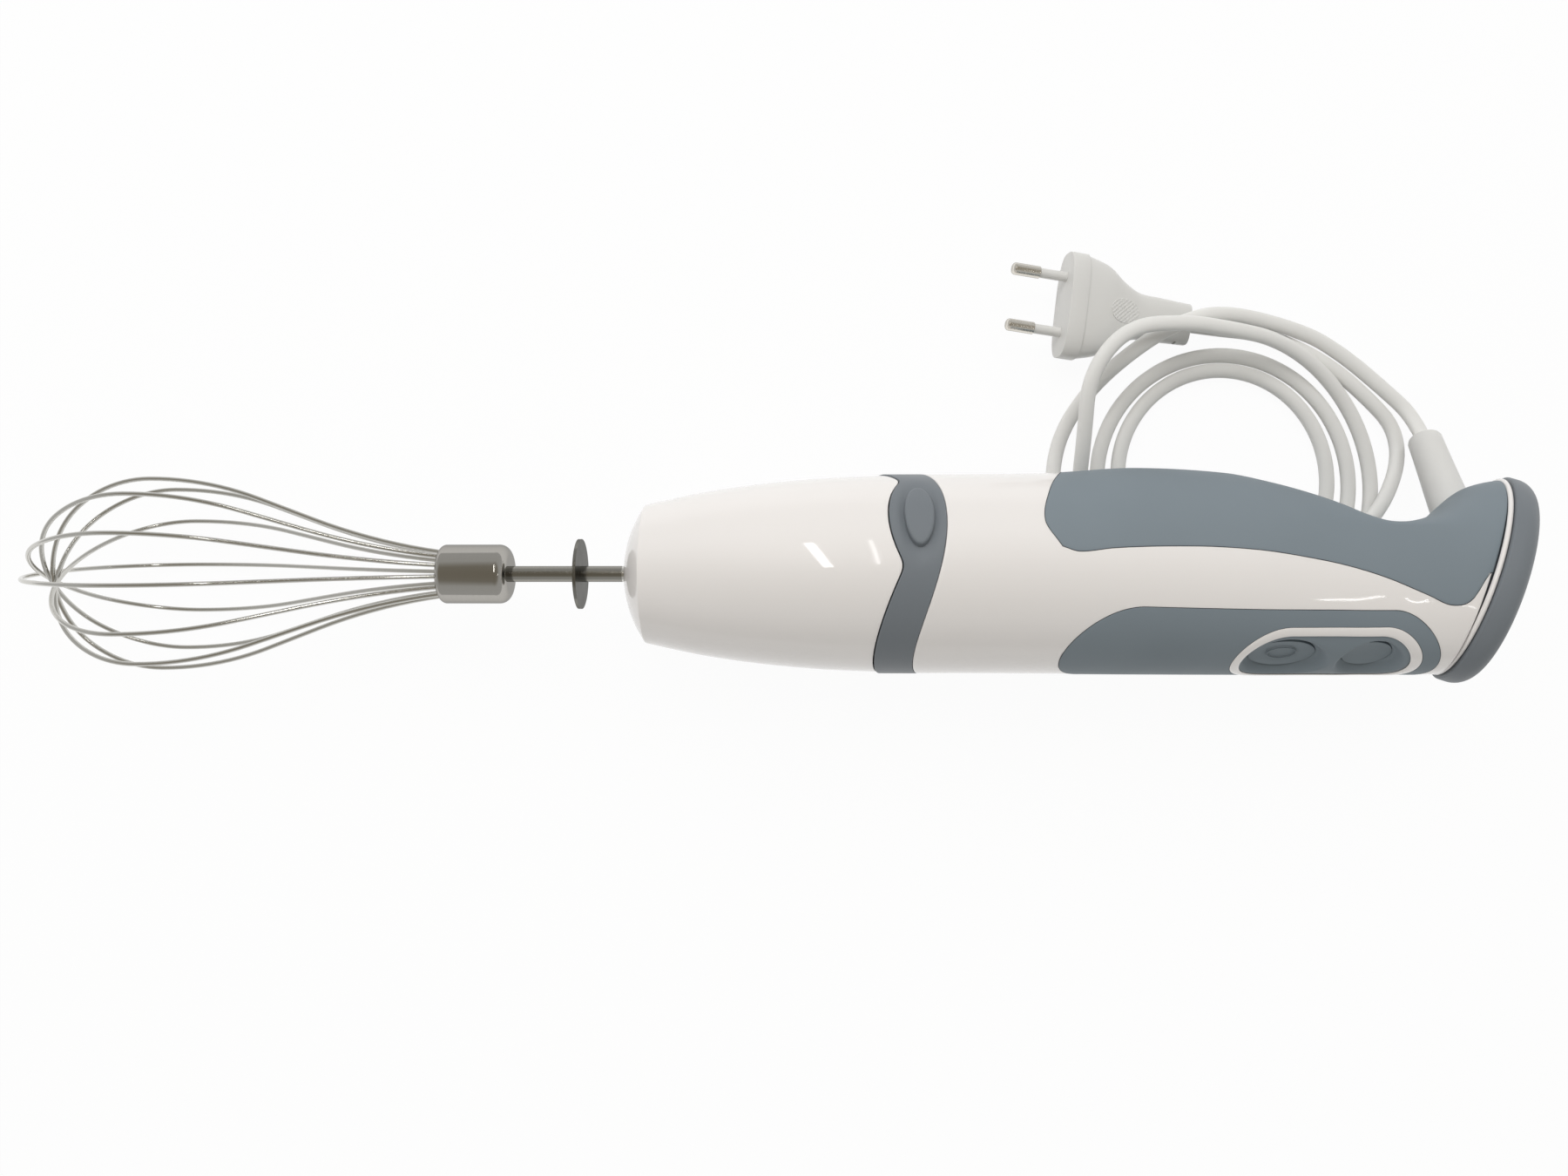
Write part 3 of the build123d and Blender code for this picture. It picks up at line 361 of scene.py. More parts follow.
def skin(name, columns, rows, point, thickness=SKIN_DEPTH, rim=None, crease=50.0, place=DEVICE, out=outward):
    """A grid laid over point(u, v), closed where its edges meet, with a wall inward and rounded edges.

    out gives the way to the open from a point of the surface.
    """
    bpy.ops.object.select_all(action="DESELECT")
    bpy.ops.mesh.primitive_grid_add(x_subdivisions=columns, y_subdivisions=rows, size=2)
    obj = named(bpy.context.object, name)
    for vertex in obj.data.vertices:
        vertex.co = place @ Vector(point((vertex.co.x + 1) / 2, (vertex.co.y + 1) / 2))
    edit_all(obj)
    bpy.ops.mesh.remove_doubles(threshold=1e-6)
    leave_edit()
    facing = sum(face.normal.dot(out(face.center).normalized()) * face.area for face in obj.data.polygons)
    if facing < 0:
        edit_all(obj)
        bpy.ops.mesh.flip_normals()
        leave_edit()
    if thickness:
        modify(obj, "SOLIDIFY", thickness=thickness * MM, offset=-1.0)
    rim = bpy.context.scene.mixer_sizes.rim_round if rim is None else rim
    if rim:
        modify(obj, "BEVEL", width=rim, segments=3, limit_method="ANGLE", angle_limit=radians(crease))
    smooth(obj, 40.0)
    return obj


def merged_copy(node, name, angle=35.0):
    """A copy of a node's mesh with its triangles joined and shaded smooth."""
    mesh = frame["nodes"][node].data.copy()
    obj = bpy.data.objects.new(name, mesh)
    bpy.context.scene.collection.objects.link(obj)
    named(obj, name)
    edit_all(obj)
    bpy.ops.mesh.remove_doubles(threshold=2e-6)
    bpy.ops.mesh.customdata_custom_splitnormals_clear()
    leave_edit()
    smooth(obj, angle)
    return obj


def hairline(name, points, closed, radius=None):
    """A fine tube along points of the device frame."""
    curve = bpy.data.curves.new(name, "CURVE")
    curve.dimensions = "3D"
    curve.bevel_depth = radius or bpy.context.scene.mixer_sizes.seam_radius
    curve.bevel_resolution = 2
    spline = curve.splines.new("POLY")
    spline.points.add(len(points) - 1)
    for place, point in zip(spline.points, points):
        place.co = (*(DEVICE @ Vector(point)), 1.0)
    spline.use_cyclic_u = closed
    obj = bpy.data.objects.new(name, curve)
    bpy.context.scene.collection.objects.link(obj)
    only(obj)
    bpy.ops.object.convert(target="MESH")
    obj = named(bpy.context.object, name)
    smooth(obj, 60.0)
    return obj


# Shapes of the device
def between(table, x, column):
    """A smooth value of a column of a table at x, the table's first column."""
    last = len(table) - 1
    k = 0
    while k < last - 1 and table[k + 1][0] < x:
        k += 1

    def slope(i):
        a, b = table[max(i - 1, 0)], table[min(i + 1, last)]
        return (b[column] - a[column]) / (b[0] - a[0])

    width = table[k + 1][0] - table[k][0]
    t = min(1.0, max(0.0, (x - table[k][0]) / width))
    start, end = table[k][column], table[k + 1][column]
    ease = t * t * (3 - 2 * t)
    rise = slope(k) * width * t * (1 - t) ** 2
    fall = slope(k + 1) * width * t * t * (1 - t)
    return start + (end - start) * ease + rise - fall


def on_handle(x, turn, lift=0.0):
    """The handle's surface at x, turned from its front to the visible side."""
    depth = between(HANDLE, x, 1 if cos(turn) > 0 else 2)
    half = between(HANDLE, x, 3)
    return (x, -(depth + lift) * cos(turn), (half + lift) * sin(turn))


def on_front(x, z, lift=0.0):
    half = between(HANDLE, x, 3) + lift
    return (x, -(between(HANDLE, x, 1) + lift) * sqrt(1 - (z / half) ** 2), z)


def end_x(turn, offset):
    """Where the handle meets a plane along the end plane."""
    x = END_X
    for _ in range(8):
        x = END_X + offset / cos(END_LEAN) + on_handle(x, turn)[1] * tan(END_LEAN)
    return x


def grip_low(x):
    """The turn at which the grip's lower edge lies at x."""
    y = between(GRIP_EDGE, min(max(x, GRIP_EDGE[0][0]), GRIP_EDGE[-1][0]), 1)
    share = -y / between(HANDLE, x, 1)
    return atan2(sqrt(1 - share * share), share)


def grip_start(turn):
    degrees = turn * 180 / pi
    return between(GRIP_NOSE, degrees if degrees < 180 else 360 - degrees, 1)


def grip_point(u, v, lift):
    """The grip's surface, from its front end to the bead and from the visible side round the back."""
    x = 100.0
    for _ in range(8):
        low = grip_low(x)
        turn = low + (2 * pi - 2 * low) * v
        start = grip_start(turn)
        x = start + (end_x(turn, GRIP_TUCK - BEAD_R) - start) * u
    return on_handle(x, turn, lift)


def shell_sink(x, turn):
    """How far the white shell gives way under the soft skins, a little inside their edges."""
    turn = turn if turn < pi else 2 * pi - turn
    past_low_edge = (turn - grip_low(x)) / SINK_TURN
    past_front_end = x - grip_start(max(turn, radians(71.0)))
    under_grip = min(past_low_edge, past_front_end) - SINK_INSET_GRIP
    z = on_handle(x, turn)[2]
    under_panel = oval_half(PANEL_OVAL, x) - abs(z) - SINK_INSET_PANEL if cos(turn) > 0 else 0.0
    return SINK_DEPTH * max(step(under_grip), step(under_panel))


def ring_left(y):
    """The wave of the ring's left edge, with soft peaks."""
    sag = RING_PEAK[0] - RING_VALLEY_X
    arc_r = (RING_PEAK[1] ** 2 + sag**2) / (2 * sag)
    arc = RING_VALLEY_X + arc_r - sqrt(max(1.0, arc_r**2 - y * y))
    line = RING_PEAK[0] - RING_SLOPE * (abs(y) - RING_PEAK[1])
    return -RING_SOFT * log(exp(-arc / RING_SOFT) + exp(-line / RING_SOFT))


def ring_right(y):
    return RING_RIGHT_X - RING_RIGHT_R + sqrt(RING_RIGHT_R**2 - y * y)


def oval_half(oval, x):
    left, right, half, taper, end = oval
    if x < left + taper:
        return half * sqrt(max(0.0, 1 - ((left + taper - x) / taper) ** 2))
    if x > right - end:
        return sqrt(max(0.0, end**2 - (x - right + end) ** 2))
    return half + (end - half) * (x - left - taper) / (right - end - left - taper)


def oval_edge(oval, share):
    """A point of a long oval, from its left end along the visible side and back."""
    left, right = oval[:2]
    x = (left + right) / 2 - cos(2 * pi * share) * (right - left) / 2
    side = 1 if share < 0.5 else -1
    return x, side * oval_half(oval, x)


def oval_seam(name, oval):
    """A hairline on the handle's front along a long oval, for the painted shade of the groove there."""
    steps = 240
    return hairline(name, [on_front(*oval_edge(oval, k / steps)) for k in range(steps)], True)


def step(value):
    """0 to 1, eased at both ends."""
    value = min(1.0, max(0.0, value))
    return value * value * (3 - 2 * value)


# Shared shader groups
RELIEF = [("Height", "NodeSocketFloat"), ("Mask", "NodeSocketFloat")]


def new_group(name, inputs, outputs):
    group = bpy.data.node_groups.new(name, "ShaderNodeTree")
    for label, kind, value in inputs:
        socket = group.interface.new_socket(label, in_out="INPUT", socket_type=kind)
        if value is not None:
            socket.default_value = value
    for label, kind in outputs:
        group.interface.new_socket(label, in_out="OUTPUT", socket_type=kind)
    return group, group.nodes.new("NodeGroupInput"), group.nodes.new("NodeGroupOutput")


def grain_group():
    """Fine moulded grain over soft patches: a height for a bump and a mask for colour and roughness."""
    inputs = [
        ("Vector", "NodeSocketVector", None),
        ("Grain Scale", "NodeSocketFloat", 2500.0),
        ("Patch Scale", "NodeSocketFloat", 30.0),
    ]
    group, given, made = new_group("moulded_grain", inputs, RELIEF)
    grain = group.nodes.new("ShaderNodeTexNoise")
    grain.inputs["Detail"].default_value = 3.0
    patch = group.nodes.new("ShaderNodeTexNoise")
    patch.inputs["Detail"].default_value = 2.0
    for noise, label in ((grain, "Grain Scale"), (patch, "Patch Scale")):
        group.links.new(given.outputs["Vector"], noise.inputs["Vector"])
        group.links.new(given.outputs[label], noise.inputs["Scale"])
    group.links.new(grain.outputs["Fac"], made.inputs["Height"])
    group.links.new(patch.outputs["Fac"], made.inputs["Mask"])
    return group


def brush_group():
    """Fine lines round the drive axis, as a polishing belt leaves them."""
    inputs = [("Vector", "NodeSocketVector", None), ("Scale", "NodeSocketFloat", 900.0)]
    group, given, made = new_group("polish_lines", inputs, RELIEF)
    stretch = group.nodes.new("ShaderNodeMapping")
    stretch.inputs["Scale"].default_value = (6.0, 0.25, 0.25)
    lines = group.nodes.new("ShaderNodeTexNoise")
    lines.inputs["Detail"].default_value = 2.0
    group.links.new(given.outputs["Vector"], stretch.inputs["Vector"])
    group.links.new(stretch.outputs["Vector"], lines.inputs["Vector"])
    group.links.new(given.outputs["Scale"], lines.inputs["Scale"])
    group.links.new(lines.outputs["Fac"], made.inputs["Height"])
    group.links.new(lines.outputs["Fac"], made.inputs["Mask"])
    return group


GROUPS = {}


def place_group(nodes, maker):
    if maker not in GROUPS:
        GROUPS[maker] = maker()
    node = nodes.new("ShaderNodeGroup")
    node.node_tree = GROUPS[maker]
    return node


def finish(
    name, colour, shade, rough, grain=0.0, maker=grain_group, coat=0.0, specular=0.5, edge=None, **scales
):
    """A finish of two close colours, a roughness that varies with them, and a fine relief.

    shade darkens the second colour; rough is the range of roughness; grain is the relief in metres. A metal
    has an edge: how bright it gets where it is seen at a slant.
    """
    material = bpy.data.materials.new(name)
    material.use_nodes = True
    nodes, links = material.node_tree.nodes, material.node_tree.links
    shader = nodes["Principled BSDF"]
    if edge is not None:
        shader.inputs["Metallic"].default_value = 1.0
        shader.inputs["Specular Tint"].default_value = (edge, edge, edge, 1.0)
    shader.inputs["Coat Weight"].default_value = coat
    shader.inputs["Specular IOR Level"].default_value = specular
    shader.inputs["Coat Roughness"].default_value = 0.04
    coords = nodes.new("ShaderNodeTexCoord")
    relief = place_group(nodes, maker)
    for label, value in scales.items():
        relief.inputs[label.replace("_", " ").title()].default_value = value
    links.new(coords.outputs["Object"], relief.inputs["Vector"])
    mix = nodes.new("ShaderNodeMix")
    mix.data_type = "RGBA"
    mix.inputs["A"].default_value = (*colour, 1.0)
    mix.inputs["B"].default_value = (*[c * shade for c in colour], 1.0)
    links.new(relief.outputs["Mask"], mix.inputs["Factor"])
    links.new(mix.outputs["Result"], shader.inputs["Base Color"])
    spread = nodes.new("ShaderNodeMapRange")
    spread.inputs["From Min"].default_value = 0.3
    spread.inputs["From Max"].default_value = 0.7
    spread.inputs["To Min"].default_value = rough[0]
    spread.inputs["To Max"].default_value = rough[1]
    links.new(relief.outputs["Mask"], spread.inputs["Value"])
    links.new(spread.outputs["Result"], shader.inputs["Roughness"])
    if grain:
        bump = nodes.new("ShaderNodeBump")
        bump.inputs["Strength"].default_value = 1.0
        bump.inputs["Distance"].default_value = grain
        links.new(relief.outputs["Height"], bump.inputs["Height"])
        links.new(bump.outputs["Normal"], shader.inputs["Normal"])
    return material


def polished(name, colour, shade, rough, grain, edge=1.0, **scales):
    """A bright metal with the lines of its polishing."""
    return finish(name, colour, shade, rough, grain, brush_group, edge=edge, **scales)


def soft(name, colour, shade, rough, grain, grain_scale):
    """A grained plastic that hardly mirrors."""
    return finish(name, colour, shade, rough, grain, specular=SOFT_SPECULAR, grain_scale=grain_scale)


FINISHES = {}
PLUG_SHADE = 0.88  # the plug's plastic beside the lead's
SOFT_SPECULAR = 0.28


def finish_of(slot):
    """The finish of a material slot, made once."""
    if slot in FINISHES:
        return FINISHES[slot]
    colours = bpy.context.scene.mixer_colours
    lead = colours.lead
    plug = [share * PLUG_SHADE for share in lead]
    nickel = (0.82, 0.785, 0.72)
    bronze = (0.5, 0.36, 0.18)
    # Painted shade: the splash disc's steel is the wires' stainless, drawn in a much darker copy
    disc = (0.24, 0.235, 0.215)
    makers = {
        "white_plastic": lambda: finish("glossy white", colours.white, 0.985, (0.36, 0.40), 1e-6, coat=1.0),
        "soft_grip": lambda: soft("soft touch grey", colours.grip, 0.92, (0.52, 0.64), 9e-6, 3200.0),
        "grey_plastic": lambda: soft("satin grey", colours.cap, 0.93, (0.40, 0.50), 6e-6, 2600.0),
        "cord_white": lambda: finish("lead sheath", lead, 0.94, (0.38, 0.50), 8e-6, grain_scale=1500.0),
        "plug_white": lambda: finish("plug plastic", plug, 0.96, (0.34, 0.44), 6e-6, grain_scale=1800.0),
        "nickel": lambda: polished("nickel pins", nickel, 0.9, (0.18, 0.3), 1e-6, 0.5, scale=1400.0),
        "inner_plastic": lambda: finish("natural nylon", (0.66, 0.64, 0.58), 0.92, (0.4, 0.55), 8e-6),
        "steel": lambda: polished("plain steel", (0.52, 0.52, 0.53), 0.85, (0.28, 0.42), 1e-6),
        "copper": lambda: finish("copper winding", (0.62, 0.30, 0.16), 0.8, (0.3, 0.45), 6e-6, edge=1.0),
        "bearing_bronze": lambda: finish("sintered bronze", bronze, 0.85, (0.4, 0.55), 6e-6, edge=1.0),
        "carbon": lambda: finish("carbon", (0.03, 0.03, 0.032), 0.7, (0.55, 0.7), 6e-6),
        "rubber": lambda: finish("black rubber", (0.025, 0.025, 0.027), 0.8, (0.6, 0.75), 1e-5),
        "board": lambda: finish("board laminate", (0.06, 0.2, 0.09), 0.85, (0.35, 0.5), 3e-6),
        "stainless": lambda: polished("polished wire", colours.steel, 0.92, (0.10, 0.18), 6e-7),
        "chrome": lambda: polished("chromed ferrule", (0.44, 0.425, 0.395), 0.94, (0.07, 0.14), 4e-7, 0.55),
        # Painted shade: the shaft and the disc are the wires' stainless, in darker copies of it
        "shaded_shaft_steel": lambda: polished("shaft steel with painted shade", (0.34, 0.33, 0.30), 0.9, (0.12, 0.2), 6e-7, 0.5),
        "shaded_disc_steel": lambda: polished("disc steel with painted shade", disc, 0.92, (0.16, 0.26), 6e-7, 0.45),
        # Painted shade: near black, for fine tubes laid in the grooves between mouldings and in the gaps round the
        # buttons
        "painted_groove_shade": lambda: finish("dark seam", (0.03, 0.036, 0.042), 0.9, (0.7, 0.8)),
    }
    FINISHES[slot] = makers[slot]()
    return FINISHES[slot]


# Pieces
class MIXER_OT_body(Operator):
    """White handle shell with its opening for the buttons, and the bead at its end"""

    bl_idname = "mixer.body"
    bl_label = "Handle shell"

    OPENING_INSET = 0.9  # from the bezel's edge
    OPENING_Y = -20.0
    OPENING_REACH = 25.0

    def execute(self, context):
        def surface(u, v):
            turn = 2 * pi * v
            start = ring_right(BODY_R * cos(turn)) + RING_GAP
            x = start + (end_x(turn, -BEAD_T / 2) - start) * u
            return on_handle(x, turn, -shell_sink(x, turn))

        shell = skin("handle_shell", 150, 160, surface)
        cut(shell, self.opening())
        smooth(shell, 40.0)
        dress(shell, "motor_unit", "white_plastic", finish_of("white_plastic"), "motor_housing")
        dress(self.bead(), "motor_unit", "white_plastic", finish_of("white_plastic"), "cap_bead")
        return {"FINISHED"}

    def bead(self):
        """A torus drawn out to the oval of the end plane."""
        thin = 0.1
        bpy.ops.object.select_all(action="DESELECT")
        bpy.ops.mesh.primitive_torus_add(
            major_segments=144, minor_segments=14, major_radius=1.0, minor_radius=thin
        )
        bead = named(bpy.context.object, "end_bead")
        side = Vector((sin(END_LEAN), cos(END_LEAN), 0))
        normal = Vector((cos(END_LEAN), -sin(END_LEAN), 0))
        middle = Vector((END_X, 0, 0)) + side * CAP_SHIFT
        for vertex in bead.data.vertices:
            around = atan2(vertex.co.y, vertex.co.x)
            out = (vertex.co.xy.length - 1.0) / thin * BEAD_R
            along = vertex.co.z / thin * BEAD_R
            half_y, half_z = (half - BEAD_T / 2 + out for half in BEAD_HALF)
            up = Vector((0, 0, half_z * sin(around)))
            vertex.co = DEVICE @ (middle + side * half_y * cos(around) + normal * along + up)
        edit_all(bead)
        bpy.ops.mesh.normals_make_consistent(inside=False)
        leave_edit()
        smooth(bead, 60.0)
        return bead

    def opening(self):
        """A prism through the front of the handle, inside the bezel's edge."""
        bpy.ops.object.select_all(action="DESELECT")
        bpy.ops.mesh.primitive_circle_add(vertices=160, radius=1.0, fill_type="NGON")
        obj = named(bpy.context.object, "opening")
        left, right, half, taper, end = BEZEL_OVAL
        inset = self.OPENING_INSET
        inner = (left + inset, right - inset, half - inset, taper, end - inset)
        for vertex in obj.data.vertices:
            x, z = oval_edge(inner, (atan2(vertex.co.y, -vertex.co.x) / (2 * pi)) % 1.0)
            vertex.co = DEVICE @ Vector((x, self.OPENING_Y, z))
        edit_all(obj)
        bpy.ops.mesh.extrude_region_move(
            TRANSFORM_OT_translate={"value": BACK * -self.OPENING_REACH * MM}
        )
        bpy.ops.mesh.select_all(action="SELECT")
        bpy.ops.mesh.normals_make_consistent(inside=False)
        leave_edit()
        return obj


class MIXER_OT_grips(Operator):
    """Soft grip over the back and both sides, front panel, and dark lines of painted shade in the grooves round
    them
    """

    bl_idname = "mixer.grips"
    bl_label = "Soft grips"

    def execute(self, context):
        grip = skin("soft_grip", 120, 96, lambda u, v: grip_point(u, v, SOFT_LIFT), SOFT_DEPTH)
        dress(grip, "motor_unit", "soft_grip", finish_of("soft_grip"), "handle_grip")

        def panel_point(u, v):
            inner, outer = oval_edge(BEZEL_OVAL, u), oval_edge(PANEL_OVAL, u)
            x, z = (a + (b - a) * v for a, b in zip(inner, outer))
            return on_front(x, z, SOFT_LIFT)

        panel = skin("front_panel_skin", 200, 26, panel_point, SOFT_DEPTH)
        dress(panel, "motor_unit", "soft_grip", finish_of("soft_grip"), "front_panel")
        steps = 160
        border = [grip_point(1 - k / steps, 0.0, 0.0) for k in range(steps)]
        border += [grip_point(0.0, k / steps, 0.0) for k in range(steps)]
        border += [grip_point(k / steps, 1.0, 0.0) for k in range(steps + 1)]
        # Painted shade: dark tubes along the grooves round the grip and the panel
        for painted_groove_shade in (hairline("grip_seam", border, False), oval_seam("panel_seam", PANEL_OVAL)):
            dress(painted_groove_shade, "motor_unit", "soft_grip", finish_of("painted_groove_shade"))
        return {"FINISHED"}


class MIXER_OT_buttons(Operator):
    """White bezel, soft pad with two dished recesses, and the two buttons in them"""

    bl_idname = "mixer.buttons"
    bl_label = "Buttons"

    WELL_EASE = 0.1  # share of a well over which its wall goes down
    BEZEL_LIFT = 0.3  # how far the bezel bulges out

    def recess(self, x, z):
        """Depth of the pad below the handle's surface."""
        depth = PAD_SINK
        for at, half_l, half_w in BUTTONS.values():
            foot = hypot((x - at) / (half_l + WELL_GAP), z / (half_w + WELL_GAP))
            rim = hypot((x - at) / (half_l + RECESS_OPEN[0]), z / (half_w + RECESS_OPEN[1]))
            if rim >= RECESS_REACH:
                continue
            to_edge = RECESS_REACH - rim
            share = 1.0 if foot <= 1 else to_edge / (to_edge + foot - 1)
            depth += RECESS_DEPTH * step(share) + WELL_DEPTH * step((1.0 - foot) / self.WELL_EASE)
        return depth

    def oval(self, at, y, half):
        turns = [2 * pi * k / 96 for k in range(96)]
        return [(at + half[0] * cos(turn), y, half[1] * sin(turn)) for turn in turns]

    def execute(self, context):
        def bezel_point(u, v):
            outer, inner = oval_edge(BEZEL_OVAL, u), oval_edge(PAD_OVAL, u)
            x, z = (a + (b - a) * v for a, b in zip(outer, inner))
            return on_front(x, z, self.BEZEL_LIFT * sqrt(max(0.0, 1 - (2 * v - 1) ** 2)))

        bezel = skin("button_bezel_ring", 200, 12, bezel_point, 1.4, 0.0002)
        dress(bezel, "motor_unit", "white_plastic", finish_of("white_plastic"), "button_bezel")

        def pad_point(u, v):
            left, right = PAD_OVAL[:2]
            x = (left + right) / 2 - cos(pi * u) * (right - left) / 2
            z = (2 * v - 1) * oval_half(PAD_OVAL, x)
            return on_front(x, z, -self.recess(x, z))

        pad = skin("button_pad_skin", 190, 90, pad_point, 0.7)
        dress(pad, "motor_unit", "soft_grip", finish_of("soft_grip"), "button_pad")
        for name, body in (("speed_button", "speed"), ("turbo_button", "turbo")):
            button = merged_copy(name, name + "_face", 30.0)
            dress(button, body, "soft_grip", finish_of("soft_grip"), name)
            at, *half = BUTTONS[name]
            edge = [size + WELL_GAP / 2 for size in half]
            # Painted shade: a dark tube down in the gap round each button
            gap = hairline(name + "_gap_shade", self.oval(at, FACE_Y + GAP_SHADE_LINE_SINK, edge), True, GAP_SHADE_LINE_R)
            dress(gap, "motor_unit", "soft_grip", finish_of("painted_groove_shade"))
        points = self.oval(BUTTONS["speed_button"][0], FACE_Y + MARK_LINE_SINK, MARK_HALF)
        mark = hairline("speed_mark", points, True, MARK_LINE_R)
        dress(mark, "speed", "soft_grip", finish_of("soft_grip"))
        # Painted shade: a dark tube along the groove round the bezel
        dress(oval_seam("bezel_seam", BEZEL_OVAL), "motor_unit", "soft_grip", finish_of("painted_groove_shade"))
        return {"FINISHED"}


class MIXER_OT_cap(Operator):
    """Grey end cap"""

    bl_idname = "mixer.cap"
    bl_label = "End cap"

    def execute(self, context):
        cap = merged_copy("end_cap", "end_cap_shell", 40.0)
        dress(cap, "motor_unit", "grey_plastic", finish_of("grey_plastic"), "end_cap")
        return {"FINISHED"}


class MIXER_OT_ring(Operator):
    """Coupling ring with a soft valley round each release button, and the two buttons"""

    bl_idname = "mixer.ring"
    bl_label = "Coupling ring"

    VALLEY = 0.9  # depth of the valley
    VALLEY_SPREAD = 0.34  # in shares of the button's size

    def execute(self, context):
        def surface(u, v):
            turn = 2 * pi * v
            y = BODY_R * cos(turn)
            x = ring_left(y) + (ring_right(y) - ring_left(y)) * u
            away = hypot((x - RELEASE_X) / RELEASE_HALF[0], y / RELEASE_HALF[1])
            radius = BODY_R - self.VALLEY * exp(-(((away - 1.0) / self.VALLEY_SPREAD) ** 2))
            return (x, radius * cos(turn), radius * sin(turn))

        ring = skin("coupling_ring_shell", 40, 240, surface, 2.4)
        dress(ring, "motor_unit", "grey_plastic", finish_of("grey_plastic"), "coupling_ring")
        for side in ("left", "right"):
            name = f"release_button_{side}"
            button = merged_copy(name, name + "_face", 40.0)
            dress(button, f"release_{side}", "grey_plastic", finish_of("grey_plastic"), name)
        return {"FINISHED"}


class MIXER_OT_gearbox(Operator):
    """White housing of the whisk attachment"""

    bl_idname = "mixer.gearbox"
    bl_label = "Gearbox housing"

    NOSE_SHARE = 0.3  # share of the grid that lies on the domed nose
    NOSE_ROUND = 0.0007

    def execute(self, context):
        rise = NOSE_EDGE[0] - NOSE_X
        dome_r = (NOSE_EDGE[1] ** 2 + rise**2) / (2 * rise)
        wall = [NOSE_EDGE] + GEARBOX_PROFILE

        def surface(u, v):
            turn = 2 * pi * v
            if u < self.NOSE_SHARE:
                radius = NOSE_HOLE_R + (NOSE_EDGE[1] - NOSE_HOLE_R) * u / self.NOSE_SHARE
                x = NOSE_X + dome_r - sqrt(dome_r**2 - radius**2)
            else:
                edge = ring_left(BODY_R * cos(turn)) - SEAM_GAP
                x = wall[0][0] + (edge - wall[0][0]) * (u - self.NOSE_SHARE) / (1 - self.NOSE_SHARE)
                radius = between(wall, x, 1)
            return (x, radius * cos(turn), radius * sin(turn))

        housing = skin("gearbox_shell", 100, 160, surface, 1.6, self.NOSE_ROUND, 30.0)
        dress(housing, "attachment", "white_plastic", finish_of("white_plastic"), "gearbox_housing")
        return {"FINISHED"}


class MIXER_OT_whisk(Operator):
    """Wire loops, ferrule, shaft and splash disc"""

    bl_idname = "mixer.whisk"
    bl_label = "Whisk"

    def execute(self, context):
        for k in range(1, WIRES + 1):
            wire = merged_copy(f"whisk_wire_{k}", f"wire_loop_{k}", 60.0)
            dress(wire, "whisk", "stainless", finish_of("stainless"), f"whisk_wire_{k}")
        # Painted shade: the shaft and the disc get darker copies of the wires' steel
        turned = (
            ("whisk_ferrule", "chrome", "chrome"),
            ("whisk_shaft", "stainless", "shaded_shaft_steel"),
            ("splash_disc", "stainless", "shaded_disc_steel"),
        )
        for node, slot, look in turned:
            piece = merged_copy(node, node + "_turned", 40.0)
            dress(piece, "whisk", slot, finish_of(look), node)
        return {"FINISHED"}


